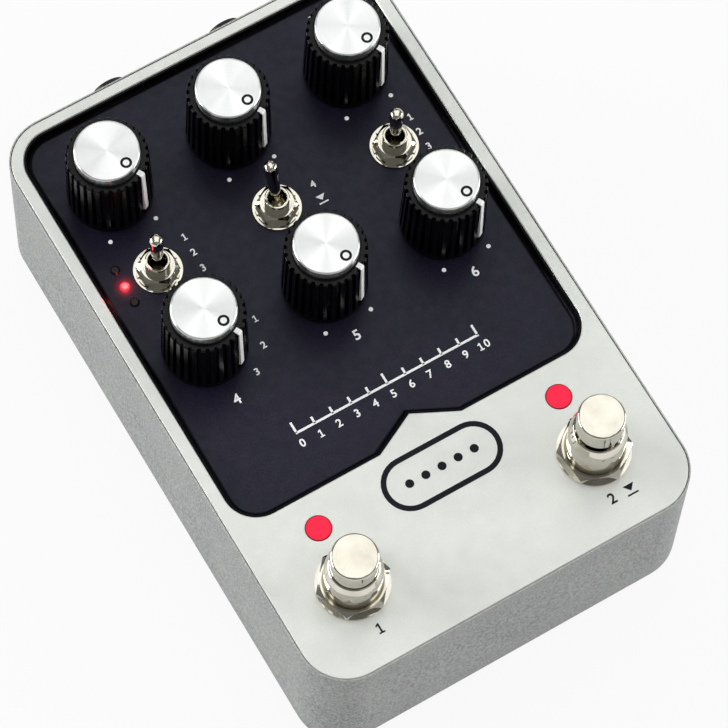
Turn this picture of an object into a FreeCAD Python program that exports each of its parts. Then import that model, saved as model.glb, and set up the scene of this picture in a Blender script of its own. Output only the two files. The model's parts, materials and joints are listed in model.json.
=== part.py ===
import FreeCAD, Part
import Sketcher
import math
import os

# A compact stereo effects pedal: a die-cast case with a light top plate, a sunken dark face
# with six knobs and three toggles, two foot switches, and its sockets on the back wall.
# Millimetres. X is right, Y is towards the sockets at the back, Z is up, and the feet stand on Z = 0.

doc = FreeCAD.newDocument("delay_pedal")
sheet = doc.addObject("Spreadsheet::Sheet", "Sizes")

DRIVING_SIZES = [
    # case shell, measured at its top edge; the back wall is upright and the others lean out by the draft
    ("case_width", 91.8),
    ("case_depth", 142.0),
    ("case_height", 42.2),
    ("case_draft", 0.5),
    ("case_corner", 10.6),
    ("case_wall", 2.3),
    ("case_rim", 0.3),
    ("case_top_round", 0.12),
    ("case_bottom_round", 1.2),
    ("boss_radius", 3.5),
    ("boss_top", 27.6),
    ("boss_inset_x", 6.4),
    ("boss_inset_y", 6.5),
    # base plate, its screws and the rubber feet
    ("base_thick", 1.5),
    ("base_seat", 1.0),
    ("base_gap", 0.15),
    ("screw_radius", 1.5),
    ("screw_length", 9.0),
    ("screw_countersink", 1.25),
    ("screw_socket_flats", 2.0),
    ("screw_socket_deep", 0.9),
    ("screw_gap", 0.08),
    ("foot_height", 3.4),
    ("foot_radius", 6.0),
    ("foot_taper", 0.6),
    ("foot_inset_x", 14.4),
    ("foot_inset_y", 15.0),
    # top plate and its window
    ("plate_thick", 2.2),
    ("plate_gap", 0.14),
    ("plate_edge", 0.2),
    ("window_side_margin", 3.25),
    ("window_front_margin", 40.0),
    ("window_back_margin", 2.9),
    ("window_corner", 7.5),
    ("notch_half", 9.8),
    ("notch_rise", 4.9),
    # sunken face panel with a raised lip that lines the window
    ("face_thick", 1.5),
    ("face_gap", 0.3),
    ("face_under", 3.0),
    ("lip_gap", 0.1),
    ("lip_thick", 0.5),
    ("lip_height", 2.0),
    ("lip_round", 0.15),
    ("lip_cove", 1.4),
    # where the controls stand, from the case's edges and from each other
    ("column_inset", 16.9),
    ("rear_row_inset", 21.6),
    ("rear_row_step", 20.7),
    ("front_row_step", 20.0),
    ("pedal_row_inset", 18.6),
    ("lamp_row_step", 13.9),
    # knobs
    ("knob_gap", 0.5),
    ("knob_height", 18.8),
    ("knob_foot_radius", 9.2),
    ("knob_foot_height", 1.3),
    ("knob_top_radius", 8.75),
    ("knob_edge", 0.3),
    ("knob_hollow_radius", 6.2),
    ("knob_hollow_deep", 5.5),
    ("knob_roof", 0.8),
    ("flute_count", 30),
    ("flute_half", 0.48),
    ("flute_root_half", 0.3),
    ("flute_deep", 1.15),
    ("flute_bevel", 0.35),
    ("flute_floor", 1.7),
    ("cap_radius", 6.95),
    ("cap_deep", 1.2),
    ("cap_proud", 2.4),
    ("cap_edge", 0.4),
    ("cap_fit", 0.02),
    ("moat_width", 0.45),
    ("moat_deep", 0.8),
    ("pointer_width", 1.15),
    ("pointer_thick", 0.55),
    ("pointer_proud", 0.06),
    ("pointer_floor", 2.6),
    ("knob_turn", -150.5),
    # potentiometers
    ("pot_width", 9.7),
    ("pot_depth", 11.4),
    ("pot_height", 6.9),
    ("bush_radius", 3.5),
    ("bush_stand", 5.0),
    ("bush_hole_gap", 0.1),
    ("shaft_radius", 3.0),
    ("shaft_sunk", 5.3),
    ("shaft_play", 0.05),
    ("shaft_end_gap", 0.3),
    ("pot_nut_flats", 9.5),
    ("pot_nut_thick", 2.0),
    # toggle switches
    ("toggle_width", 6.9),
    ("toggle_depth", 12.7),
    ("toggle_height", 6.9),
    ("toggle_thread_radius", 3.1),
    ("toggle_thread_stand", 3.1),
    ("toggle_neck_radius", 2.7),
    ("toggle_neck_stand", 5.6),
    ("toggle_bore", 2.0),
    ("toggle_bore_sunk", 4.0),
    ("toggle_hole_gap", 0.1),
    ("toggle_washer_radius", 5.28),
    ("toggle_washer_thick", 0.5),
    ("toggle_lock_radius", 4.75),
    ("toggle_lock_root", 4.15),
    ("toggle_lock_thick", 0.5),
    ("toggle_lock_notch", 0.75),
    ("toggle_lock_teeth", 12),
    ("toggle_nut_flats", 8.0),
    ("toggle_nut_thick", 1.9),
    ("toggle_nut_crown", 3.65),
    ("nut_bevel_slope", 0.6),
    ("lever_pivot", 3.2),
    ("lever_ball", 1.85),
    ("lever_neck", 1.1),
    ("lever_tip", 1.5),
    ("lever_reach", 13.8),
    ("lever_tail", 3.4),
    ("lever_tail_radius", 0.8),
    ("lever_tip_round", 1.1),
    ("lever_lean", 13.0),
    # foot switches
    ("stomp_width", 17.0),
    ("stomp_height", 18.0),
    ("stomp_thread_radius", 6.15),
    ("stomp_stand", 13.4),
    ("stomp_left_drop", 1.5),
    ("stomp_shoulder", 2.1),
    ("stomp_shoulder_round", 3.0),
    ("stomp_lip_radius", 5.3),
    ("stomp_lip_round", 0.6),
    ("stomp_mouth_deep", 4.2),
    ("stomp_bore_deep", 22.9),
    ("stomp_hole_gap", 0.15),
    ("stomp_washer_radius", 7.9),
    ("stomp_washer_thick", 0.6),
    ("stomp_nut_flats", 14.0),
    ("stomp_nut_thick", 2.1),
    ("stomp_nut_crown", 6.9),
    ("stomp_nut_edge", 0.3),
    ("stomp_nut_turn_left", 20.0),
    ("stomp_nut_turn_right", 7.6),
    ("button_cap_radius", 5.0),
    ("button_stand", 7.25),
    ("button_latch", 1.25),
    ("button_cap_height", 5.7),
    ("button_edge", 0.45),
    ("button_stem_radius", 4.35),
    ("button_length", 27.0),
    ("button_play", 0.06),
    # lamps
    ("lamp_radius", 2.82),
    ("lamp_gap", 0.06),
    ("lamp_flange", 1.0),
    ("lamp_flange_thick", 1.0),
    ("lamp_proud", 0.15),
    ("status_radius", 1.05),
    ("status_proud", 0.35),
    ("status_gap", 0.05),
    ("status_offset", 7.85),
    ("status_row_step", 20.4),
    ("status_pitch", 4.2),
    # circuit boards
    ("board_thick", 1.6),
    ("control_board_gap", 2.1),
    ("control_board_front_gap", 1.3),
    ("control_board_back_gap", 1.9),
    ("main_board_gap", 0.5),
    ("main_board_front_gap", 8.7),
    ("standoff_height", 5.0),
    ("standoff_radius", 2.5),
    ("standoff_inset_x", 4.5),
    ("standoff_inset_y", 21.0),
    ("header_width", 32.0),
    ("header_depth", 4.6),
    ("header_inset", 22.6),
    ("chip_width", 17.0),
    ("chip_thick", 1.5),
    ("chip_inset", 52.6),
    # audio sockets on the back wall: an upper inner pair and a lower outer pair
    ("jack_width", 13.6),
    ("jack_height", 9.4),
    ("jack_deep", 21.5),
    ("jack_bush_radius", 4.3),
    ("jack_reach", 6.5),
    ("jack_bore", 3.2),
    ("jack_bore_deep", 26.0),
    ("jack_hole_gap", 0.15),
    ("jack_nut_flats", 11.0),
    ("jack_nut_thick", 2.2),
    ("jack_boss_gap", 0.3),
    ("jack_pitch", 14.4),
    ("jack_board_gap", 0.2),
    # power socket, data socket and pairing button, all standing on the main board
    ("power_width", 9.0),
    ("power_height", 10.8),
    ("power_deep", 14.0),
    ("power_bore", 3.15),
    ("power_bore_deep", 9.5),
    ("power_pin", 1.05),
    ("power_pin_back", 0.8),
    ("usb_width", 8.94),
    ("usb_height", 3.26),
    ("usb_corner", 1.2),
    ("usb_deep", 7.4),
    ("usb_shell", 0.3),
    ("usb_tongue_width", 6.7),
    ("usb_tongue_thick", 0.7),
    ("usb_tongue_back", 0.9),
    ("wall_hole_gap", 0.3),
    ("pair_rise", 2.9),
    ("pair_radius", 1.5),
    ("pair_proud", 0.45),
    ("pair_travel", 0.4),
    ("pair_play", 0.08),
    ("pair_switch_width", 6.2),
    ("pair_switch_height", 5.2),
    ("pair_switch_deep", 3.6),
    ("pair_stem_sunk", 1.6),
    ("pair_switch_gap", 0.3),
]


class Size:
    """A length that carries its value and the sheet expression that gives it."""

    def __init__(self, value, text):
        self.value = float(value)
        self.text = text

    def __add__(self, other):
        other = as_size(other)
        return Size(self.value + other.value, "(%s + %s)" % (self.text, other.text))

    def __sub__(self, other):
        other = as_size(other)
        return Size(self.value - other.value, "(%s - %s)" % (self.text, other.text))

    def __mul__(self, other):
        other = as_size(other)
        return Size(self.value * other.value, "(%s * %s)" % (self.text, other.text))

    def __truediv__(self, other):
        other = as_size(other)
        return Size(self.value / other.value, "(%s / %s)" % (self.text, other.text))

    def __neg__(self):
        return Size(-self.value, "(0 - %s)" % self.text)

    def __radd__(self, other):
        return as_size(other) + self

    def __rsub__(self, other):
        return as_size(other) - self

    def __rmul__(self, other):
        return as_size(other) * self


def as_size(amount):
    if isinstance(amount, Size):
        return amount
    return Size(amount, repr(float(amount)))


def root(amount):
    return Size(math.sqrt(amount.value), "sqrt(%s)" % amount.text)


def sine(angle):
    return Size(math.sin(math.radians(angle.value)), "sin(%s * 1 deg)" % angle.text)


def cosine(angle):
    return Size(math.cos(math.radians(angle.value)), "cos(%s * 1 deg)" % angle.text)


def fill_sheet():
    """Write each driving size in the sheet and hand back the sizes by name."""
    sizes = {}
    for row, (name, amount) in enumerate(DRIVING_SIZES, start=1):
        sheet.set("A%d" % row, name)
        sheet.set("B%d" % row, str(amount))
        sheet.setAlias("B%d" % row, name)
        sizes[name] = Size(amount, "Sizes." + name)
    doc.recompute()
    return sizes


S = fill_sheet()
ZERO = Size(0, "0")

# Heights and faces that several pieces share
CASE_BOTTOM = S["foot_height"]
PLATE_TOP = CASE_BOTTOM + S["case_height"]
PLATE_BOTTOM = PLATE_TOP - S["plate_thick"]
FACE_TOP = PLATE_BOTTOM
FACE_BOTTOM = FACE_TOP - S["face_thick"]
BASE_TOP = CASE_BOTTOM + S["base_thick"]
CONTROL_BOARD_TOP = FACE_BOTTOM - S["pot_height"]
MAIN_BOARD_BOTTOM = BASE_TOP + S["standoff_height"]
MAIN_BOARD_TOP = MAIN_BOARD_BOTTOM + S["board_thick"]
CAVITY_HALF_X = S["case_width"] / 2 - S["case_wall"]
CAVITY_HALF_Y = S["case_depth"] / 2 - S["case_wall"]
CAVITY_CORNER = S["case_corner"] - S["case_wall"]
BOSS_X = S["case_width"] / 2 - S["boss_inset_x"]
BOSS_Y = S["case_depth"] / 2 - S["boss_inset_y"]
BACK_WALL_OUT = S["case_depth"] / 2
# The sockets reach out at the back and the case leans out at the front, so the case sits forward of Y = 0
CASE_MIDDLE = (S["case_draft"] - S["jack_reach"]) / 2
WINDOW_HALF = S["case_width"] / 2 - S["window_side_margin"]
WINDOW_FRONT = S["window_front_margin"] - BACK_WALL_OUT
WINDOW_BACK = BACK_WALL_OUT - S["window_back_margin"]
COLUMN = S["case_width"] / 2 - S["column_inset"]
REAR_ROW = BACK_WALL_OUT - S["rear_row_inset"]
TOGGLE_ROW = REAR_ROW - S["rear_row_step"]
FRONT_ROW = TOGGLE_ROW - S["front_row_step"]
PEDAL_ROW = S["pedal_row_inset"] - BACK_WALL_OUT
LAMP_ROW = PEDAL_ROW + S["lamp_row_step"]
CONTROL_BOARD_FRONT = PEDAL_ROW + S["stomp_width"] / 2 + S["control_board_front_gap"]
CONTROL_BOARD_BACK = REAR_ROW + S["pot_depth"] / 2 + S["control_board_back_gap"]
MAIN_BOARD_HALF = BOSS_X - S["boss_radius"] - S["main_board_gap"]
JACK_OUTER_X = BOSS_X - S["boss_radius"] - S["jack_boss_gap"] - S["jack_width"] / 2
JACK_INNER_X = JACK_OUTER_X - S["jack_pitch"]
JACK_OUTER_Z = MAIN_BOARD_TOP + S["jack_height"] / 2
JACK_INNER_Z = CONTROL_BOARD_TOP - S["board_thick"] - S["jack_board_gap"] - S["jack_height"] / 2
KNOB_TOP = S["knob_gap"] + S["knob_height"]
KNOB_SEAT = KNOB_TOP - S["cap_deep"]
KNOB_MOAT = S["cap_radius"] + S["moat_width"]
SHAFT_HOLE_TOP = KNOB_SEAT - S["knob_roof"]
SHAFT_TOP = SHAFT_HOLE_TOP - S["shaft_end_gap"]

nodes = []


def place(thing, x, y, z, turn=None, tilt=None):
    """Set a piece down in the pedal's frame, with its coordinates bound to the sheet."""
    y = CASE_MIDDLE + y
    thing.Placement.Base = FreeCAD.Vector(x.value, y.value, z.value)
    if turn is not None:
        thing.Placement.Rotation = FreeCAD.Rotation(FreeCAD.Vector(0, 0, 1), turn.value)
        thing.setExpression("Placement.Rotation.Angle", turn.text)
    if tilt is not None:
        thing.Placement.Rotation = FreeCAD.Rotation(FreeCAD.Vector(-1, 0, 0), tilt.value)
        thing.setExpression("Placement.Rotation.Angle", tilt.text)
    thing.setExpression("Placement.Base.x", x.text)
    thing.setExpression("Placement.Base.y", y.text)
    thing.setExpression("Placement.Base.z", z.text)


def new_body(label, kept=True):
    body = doc.addObject("PartDesign::Body", label)
    body.Label = label
    if kept:
        nodes.append(body)
    return body


def gather(label, bodies):
    """One node made of several like pieces, each its own solid."""
    group = doc.addObject("Part::Compound", label)
    group.Label = label
    group.Links = bodies
    nodes.append(group)
    return group


def origin_plane(body, role):
    for feature in body.Origin.OriginFeatures:
        if feature.Role == role:
            return feature
    raise ValueError("no origin plane " + role)


def new_sketch(body, role, lift=ZERO):
    sketch = body.newObject("Sketcher::SketchObject", body.Name + "_outline")
    sketch.AttachmentSupport = [(origin_plane(body, role), "")]
    sketch.MapMode = "FlatFace"
    sketch.AttachmentOffset = FreeCAD.Placement(FreeCAD.Vector(0, 0, lift.value), FreeCAD.Rotation())
    sketch.setExpression("AttachmentOffset.Base.z", lift.text)
    return sketch


def hold(sketch, axis, geometry, point, amount):
    """Tie one point's coordinate to the sheet, measured from the sketch's origin."""
    axis_line = -2 if axis == "DistanceX" else -1
    if abs(amount.value) < 1e-9:
        sketch.addConstraint(Sketcher.Constraint("PointOnObject", geometry, point, axis_line))
        return
    if amount.value > 0:
        number = sketch.addConstraint(Sketcher.Constraint(axis, -1, 1, geometry, point, amount.value))
    else:
        amount = -amount
        number = sketch.addConstraint(Sketcher.Constraint(axis, geometry, point, -1, 1, amount.value))
    sketch.setExpression("Constraints[%d]" % number, amount.text)


def draw_polygon(sketch, corners):
    corners = [(as_size(u), as_size(v)) for u, v in corners]
    count = len(corners)
    first = sketch.GeometryCount
    for i in range(count):
        start = FreeCAD.Vector(corners[i][0].value, corners[i][1].value, 0)
        end = FreeCAD.Vector(corners[(i + 1) % count][0].value, corners[(i + 1) % count][1].value, 0)
        sketch.addGeometry(Part.LineSegment(start, end), False)
    for i in range(count):
        following = first + (i + 1) % count
        sketch.addConstraint(Sketcher.Constraint("Coincident", first + i, 2, following, 1))
    for i, (u, v) in enumerate(corners):
        hold(sketch, "DistanceX", first + i, 1, u)
        hold(sketch, "DistanceY", first + i, 1, v)


def draw_box(sketch, left, right, low, high):
    draw_polygon(sketch, [(left, low), (right, low), (right, high), (left, high)])


def heading(start, end):
    """Unit direction between two corners that lie on one level or one upright."""
    across = end[0].value - start[0].value
    along = end[1].value - start[1].value
    if abs(across) > abs(along):
        return (math.copysign(1, across), 0)
    return (0, math.copysign(1, along))


def draw_rounded(sketch, corners, rounded, radius):
    """Draw a closed outline, anticlockwise, and round the numbered corners, which are square ones."""
    count = len(corners)
    first = sketch.GeometryCount
    for i in range(count):
        start = FreeCAD.Vector(corners[i][0].value, corners[i][1].value, 0)
        end = FreeCAD.Vector(corners[(i + 1) % count][0].value, corners[(i + 1) % count][1].value, 0)
        if i in rounded:
            start += (end - start).normalize() * radius.value
        if (i + 1) % count in rounded:
            end -= (end - start).normalize() * radius.value
        sketch.addGeometry(Part.LineSegment(start, end), False)
    for i, (u, v) in enumerate(corners):
        side = first + i
        side_before = first + (i - 1) % count
        if i not in rounded:
            sketch.addConstraint(Sketcher.Constraint("Coincident", side_before, 2, side, 1))
            hold(sketch, "DistanceX", side, 1, u)
            hold(sketch, "DistanceY", side, 1, v)
            continue
        arrive = heading(corners[i - 1], corners[i])
        leave = heading(corners[i], corners[(i + 1) % count])
        middle_u = u + radius * (leave[0] - arrive[0])
        middle_v = v + radius * (leave[1] - arrive[1])
        middle = FreeCAD.Vector(middle_u.value, middle_v.value, 0)
        circle = Part.Circle(middle, FreeCAD.Vector(0, 0, 1), radius.value)
        start_angle = math.atan2(-leave[1], -leave[0])
        arc = sketch.addGeometry(Part.ArcOfCircle(circle, start_angle, start_angle + math.pi / 2), False)
        sketch.addConstraint(Sketcher.Constraint("Tangent", side_before, 2, arc, 1))
        sketch.addConstraint(Sketcher.Constraint("Tangent", arc, 2, side, 1))
        hold(sketch, "DistanceX", arc, 3, middle_u)
        hold(sketch, "DistanceY", arc, 3, middle_v)
        number = sketch.addConstraint(Sketcher.Constraint("Radius", arc, radius.value))
        sketch.setExpression("Constraints[%d]" % number, radius.text)


def draw_rounded_box(sketch, left, right, low, high, radius):
    draw_rounded(sketch, [(left, low), (right, low), (right, high), (left, high)], (0, 1, 2, 3), radius)


def draw_rounded_middle(sketch, half_x, half_y, radius):
    draw_rounded_box(sketch, -half_x, half_x, -half_y, half_y, radius)


def draw_circle(sketch, u, v, radius):
    u, v, radius = as_size(u), as_size(v), as_size(radius)
    centre = FreeCAD.Vector(u.value, v.value, 0)
    circle = sketch.addGeometry(Part.Circle(centre, FreeCAD.Vector(0, 0, 1), radius.value), False)
    hold(sketch, "DistanceX", circle, 3, u)
    hold(sketch, "DistanceY", circle, 3, v)
    number = sketch.addConstraint(Sketcher.Constraint("Radius", circle, radius.value))
    sketch.setExpression("Constraints[%d]" % number, radius.text)


def draw_hexagon(sketch, flats):
    """A hexagon about the origin with a corner on the Y axis."""
    corner = flats / root(as_size(3))
    half = flats / 2
    draw_polygon(sketch, [
        (ZERO, -corner), (half, -corner / 2), (half, corner / 2),
        (ZERO, corner), (-half, corner / 2), (-half, -corner / 2),
    ])


def pad(body, sketch, length):
    feature = body.newObject("PartDesign::Pad", body.Name + "_pad")
    feature.Profile = sketch
    feature.Length = length.value
    feature.setExpression("Length", length.text)
    doc.recompute()
    return feature


def pocket(body, sketch, length):
    """Cut from the sketch against its normal, and make sure that something was removed."""
    before = body.Tip.Shape.Volume
    feature = body.newObject("PartDesign::Pocket", body.Name + "_pocket")
    feature.Profile = sketch
    feature.Length = length.value
    feature.setExpression("Length", length.text)
    doc.recompute()
    if feature.Shape.Volume >= before:
        raise ValueError("a pocket in %s removed nothing" % body.Label)
    return feature


def revolve(body, corners):
    """Turn an outline, given as radius and height, about the Z axis."""
    sketch = new_sketch(body, "XZ_Plane")
    draw_polygon(sketch, corners)
    feature = body.newObject("PartDesign::Revolution", body.Name + "_turned")
    feature.Profile = sketch
    feature.ReferenceAxis = (sketch, ["V_Axis"])
    feature.Angle = 360
    doc.recompute()
    return feature


def groove(body, corners):
    """Cut an outline, given as radius and height, all the way round the Z axis."""
    before = body.Tip.Shape.Volume
    sketch = new_sketch(body, "XZ_Plane")
    draw_polygon(sketch, corners)
    feature = body.newObject("PartDesign::Groove", body.Name + "_groove")
    feature.Profile = sketch
    feature.ReferenceAxis = (sketch, ["V_Axis"])
    feature.Angle = 360
    doc.recompute()
    if feature.Shape.Volume >= before:
        raise ValueError("a groove in %s removed nothing" % body.Label)
    return feature


def spread(body, first, sketch, count):
    """Repeat a feature evenly round the sketch's normal."""
    pattern = body.newObject("PartDesign::PolarPattern", body.Name + "_pattern")
    pattern.Originals = [first]
    pattern.Axis = (sketch, ["N_Axis"])
    pattern.Angle = 360
    pattern.Occurrences = int(count.value)
    pattern.setExpression("Occurrences", count.text)
    body.Tip = pattern
    doc.recompute()


def dress(body, kind, size, test):
    """Round or bevel every edge of the body's last feature that passes the test."""
    doc.recompute()
    base = body.Tip
    names = ["Edge%d" % i for i, edge in enumerate(base.Shape.Edges, start=1) if test(edge)]
    feature = body.newObject("PartDesign::" + kind, body.Name + "_" + kind.lower())
    feature.Base = (base, names)
    name = "Radius" if kind == "Fillet" else "Size"
    setattr(feature, name, size.value)
    feature.setExpression(name, size.text)
    doc.recompute()
    return feature


def near(a, b):
    return abs(a - b) < 0.01


def is_upright(edge):
    box = edge.BoundBox
    return len(edge.Vertexes) == 2 and box.ZLength > 0.9 * edge.Length


def lies_at(edge, height):
    box = edge.BoundBox
    return near(box.ZMin, height.value) and near(box.ZMax, height.value)


def is_round_at(edge, radius, height):
    """True for a circle about the body's own axis at this height."""
    curve = edge.Curve
    if not isinstance(curve, Part.Circle) or not lies_at(edge, height):
        return False
    return near(curve.Radius, radius.value) and math.hypot(curve.Center.x, curve.Center.y) < 0.01


def cut_circles(body, lift, length, circles):
    sketch = new_sketch(body, "XY_Plane", lift)
    for u, v, radius in circles:
        draw_circle(sketch, u, v, radius)
    pocket(body, sketch, length)


def column(position):
    return COLUMN * position


KNOB_SPOTS = [
    ("rear_left", -1, REAR_ROW),
    ("rear_middle", 0, REAR_ROW),
    ("rear_right", 1, REAR_ROW),
    ("front_left", -1, FRONT_ROW),
    ("front_middle", 0, FRONT_ROW),
    ("front_right", 1, FRONT_ROW),
]
TOGGLE_SPOTS = [("left", -1, ZERO), ("middle", 0, S["lever_lean"]), ("right", 1, ZERO)]
SIDES = [("left", -1), ("right", 1)]
# How far the left foot switch sits below the right one, and how far its button is latched down
STOMP_DROP = {"left": S["stomp_left_drop"], "right": ZERO}
BUTTON_LATCH = {"left": S["button_latch"], "right": ZERO}
STOMP_NUT_TURN = {"left": S["stomp_nut_turn_left"], "right": S["stomp_nut_turn_right"]}
JACK_SPOTS = [
    (-JACK_OUTER_X, JACK_OUTER_Z),
    (-JACK_INNER_X, JACK_INNER_Z),
    (JACK_INNER_X, JACK_INNER_Z),
    (JACK_OUTER_X, JACK_OUTER_Z),
]


def corner_spots(half_x, half_y):
    return [(half_x * sx, half_y * sy) for sx in (-1, 1) for sy in (-1, 1)]


# Case

def make_case_shell():
    body = new_body("case_shell")
    lean = S["case_draft"]
    half_x = S["case_width"] / 2
    front = BACK_WALL_OUT + lean
    block = new_sketch(body, "XZ_Plane", -BACK_WALL_OUT)
    draw_polygon(block, [
        (-half_x - lean, CASE_BOTTOM), (half_x + lean, CASE_BOTTOM),
        (half_x, PLATE_TOP), (-half_x, PLATE_TOP),
    ])
    pad(body, block, BACK_WALL_OUT + front)
    wedge = new_sketch(body, "YZ_Plane", half_x + lean + 1)
    draw_polygon(wedge, [(-front, CASE_BOTTOM), (-BACK_WALL_OUT, PLATE_TOP), (-front, PLATE_TOP)])
    pocket(body, wedge, (half_x + lean + 1) * 2)
    dress(body, "Fillet", S["case_corner"], is_upright)
    dress(body, "Fillet", S["case_bottom_round"], lambda edge: lies_at(edge, CASE_BOTTOM))
    dress(body, "Fillet", S["case_top_round"], lambda edge: lies_at(edge, PLATE_TOP))

    seat = new_sketch(body, "XY_Plane", PLATE_TOP)
    rim = S["case_rim"]
    draw_rounded_middle(seat, half_x - rim, BACK_WALL_OUT - rim, S["case_corner"] - rim)
    pocket(body, seat, S["plate_thick"])
    cavity = new_sketch(body, "XY_Plane", PLATE_BOTTOM)
    draw_rounded_middle(cavity, CAVITY_HALF_X, CAVITY_HALF_Y, CAVITY_CORNER)
    pocket(body, cavity, PLATE_BOTTOM - CASE_BOTTOM)
    floor_seat = new_sketch(body, "XY_Plane", BASE_TOP)
    widen = S["base_seat"]
    draw_rounded_middle(floor_seat, CAVITY_HALF_X + widen, CAVITY_HALF_Y + widen, CAVITY_CORNER + widen)
    pocket(body, floor_seat, S["base_thick"])

    bosses = new_sketch(body, "XY_Plane", BASE_TOP)
    for x, y in corner_spots(BOSS_X, BOSS_Y):
        draw_circle(bosses, x, y, S["boss_radius"])
    pad(body, bosses, S["boss_top"] - BASE_TOP)
    holes = new_sketch(body, "XY_Plane", BASE_TOP + S["screw_length"])
    for x, y in corner_spots(BOSS_X, BOSS_Y):
        draw_circle(holes, x, y, S["screw_radius"] + S["screw_gap"])
    pocket(body, holes, S["screw_length"])

    open_back_wall(body)
    place(body, ZERO, ZERO, ZERO)


def open_back_wall(body):
    """Holes for the sockets and the pairing button, cut outwards from inside the wall."""
    inside = CAVITY_HALF_Y - 1
    sketch = new_sketch(body, "XZ_Plane", -inside)
    for x, z in JACK_SPOTS:
        draw_circle(sketch, x, z, S["jack_bush_radius"] + S["jack_hole_gap"])
    gap = S["wall_hole_gap"]
    power_half = S["power_width"] / 2 + gap
    draw_box(sketch, -power_half, power_half, MAIN_BOARD_TOP - gap, MAIN_BOARD_TOP + S["power_height"] + gap)
    usb_half = S["usb_width"] / 2 + gap
    draw_rounded_box(sketch, -JACK_INNER_X - usb_half, usb_half - JACK_INNER_X,
                     MAIN_BOARD_TOP - gap, MAIN_BOARD_TOP + S["usb_height"] + gap, S["usb_corner"] + gap)
    draw_circle(sketch, JACK_INNER_X, MAIN_BOARD_TOP + S["pair_rise"], S["pair_radius"] + S["pair_play"])
    pocket(body, sketch, S["case_wall"] + 2)


def make_base_plate():
    body = new_body("base_plate")
    half_x = CAVITY_HALF_X + S["base_seat"] - S["base_gap"]
    half_y = CAVITY_HALF_Y + S["base_seat"] - S["base_gap"]
    sketch = new_sketch(body, "XY_Plane", CASE_BOTTOM)
    draw_box(sketch, -half_x, half_x, -half_y, half_y)
    pad(body, sketch, S["base_thick"])
    dress(body, "Fillet", CAVITY_CORNER + S["base_seat"] - S["base_gap"], is_upright)
    shank = S["screw_radius"] + S["screw_gap"]
    holes = new_sketch(body, "XY_Plane", BASE_TOP)
    for x, y in corner_spots(BOSS_X, BOSS_Y):
        draw_circle(holes, x, y, shank)
    pocket(body, holes, S["base_thick"])
    dress(body, "Chamfer", S["screw_countersink"],
          lambda edge: isinstance(edge.Curve, Part.Circle) and lies_at(edge, CASE_BOTTOM)
          and near(edge.Curve.Radius, shank.value))
    place(body, ZERO, ZERO, ZERO)


def make_base_screws():
    """Countersunk screws, head down, that hold the base plate to the case's bosses."""
    screws = []
    hole = S["screw_radius"] + S["screw_gap"]
    top = S["base_thick"] + S["screw_length"] - S["screw_gap"]
    for i, (x, y) in enumerate(corner_spots(BOSS_X, BOSS_Y), start=1):
        body = new_body("base_screw_%d" % i, kept=False)
        revolve(body, [
            (ZERO, ZERO), (hole + S["screw_countersink"], ZERO), (hole, S["screw_countersink"]),
            (S["screw_radius"], S["screw_countersink"]), (S["screw_radius"], top), (ZERO, top),
        ])
        socket = new_sketch(body, "XY_Plane")
        draw_hexagon(socket, S["screw_socket_flats"])
        pocket_up(body, socket, S["screw_socket_deep"])
        screws.append(body)
        place(body, x, y, CASE_BOTTOM)
    gather("base_screws", screws)


def pocket_up(body, sketch, length):
    """Cut along the sketch's normal."""
    before = body.Tip.Shape.Volume
    feature = body.newObject("PartDesign::Pocket", body.Name + "_recess")
    feature.Profile = sketch
    feature.Reversed = True
    feature.Length = length.value
    feature.setExpression("Length", length.text)
    doc.recompute()
    if feature.Shape.Volume >= before:
        raise ValueError("a recess in %s removed nothing" % body.Label)
    return feature


def make_rubber_feet():
    feet = []
    half_x = S["case_width"] / 2 - S["foot_inset_x"]
    half_y = S["case_depth"] / 2 - S["foot_inset_y"]
    for i, (x, y) in enumerate(corner_spots(half_x, half_y), start=1):
        body = new_body("rubber_foot_%d" % i, kept=False)
        revolve(body, [
            (ZERO, ZERO), (S["foot_radius"] - S["foot_taper"], ZERO),
            (S["foot_radius"], S["foot_height"]), (ZERO, S["foot_height"]),
        ])
        feet.append(body)
        place(body, x, y, ZERO)
    gather("rubber_feet", feet)


# Top plate and face

def draw_window(sketch, inset):
    """Draw the window drawn in by the inset; its front edge has a shallow peak in the middle."""
    slope = S["notch_rise"] / S["notch_half"]
    right = WINDOW_HALF - inset
    front = WINDOW_FRONT + inset
    back = WINDOW_BACK - inset
    # Drawing a sloping side in by the inset slides its foot outwards along the front edge
    slide = inset * (root(1 + slope * slope) - 1) / slope
    foot = S["notch_half"] + slide
    corners = [
        (-right, front), (-foot, front), (ZERO, front + foot * slope), (foot, front),
        (right, front), (right, back), (-right, back),
    ]
    draw_rounded(sketch, corners, (0, 4, 5, 6), S["window_corner"] - inset)


def make_top_plate():
    body = new_body("top_plate")
    inset = S["case_rim"] + S["plate_gap"]
    half_x = S["case_width"] / 2 - inset
    half_y = S["case_depth"] / 2 - inset
    sketch = new_sketch(body, "XY_Plane", PLATE_BOTTOM)
    draw_box(sketch, -half_x, half_x, -half_y, half_y)
    pad(body, sketch, S["plate_thick"])
    dress(body, "Fillet", S["case_corner"] - inset, is_upright)

    window = new_sketch(body, "XY_Plane", PLATE_TOP)
    draw_window(window, ZERO)
    pocket(body, window, S["plate_thick"])
    holes = []
    for side, sign in SIDES:
        holes.append((column(sign), LAMP_ROW, S["lamp_radius"] + S["lamp_gap"]))
        holes.append((column(sign), PEDAL_ROW, S["stomp_thread_radius"] + S["stomp_hole_gap"]))
    cut_circles(body, PLATE_TOP, S["plate_thick"], holes)
    dress(body, "Chamfer", S["plate_edge"], lambda edge: lies_at(edge, PLATE_TOP) and not is_small_ring(edge))
    place(body, ZERO, ZERO, ZERO)


def is_small_ring(edge):
    return isinstance(edge.Curve, Part.Circle) and len(edge.Vertexes) == 1


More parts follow.
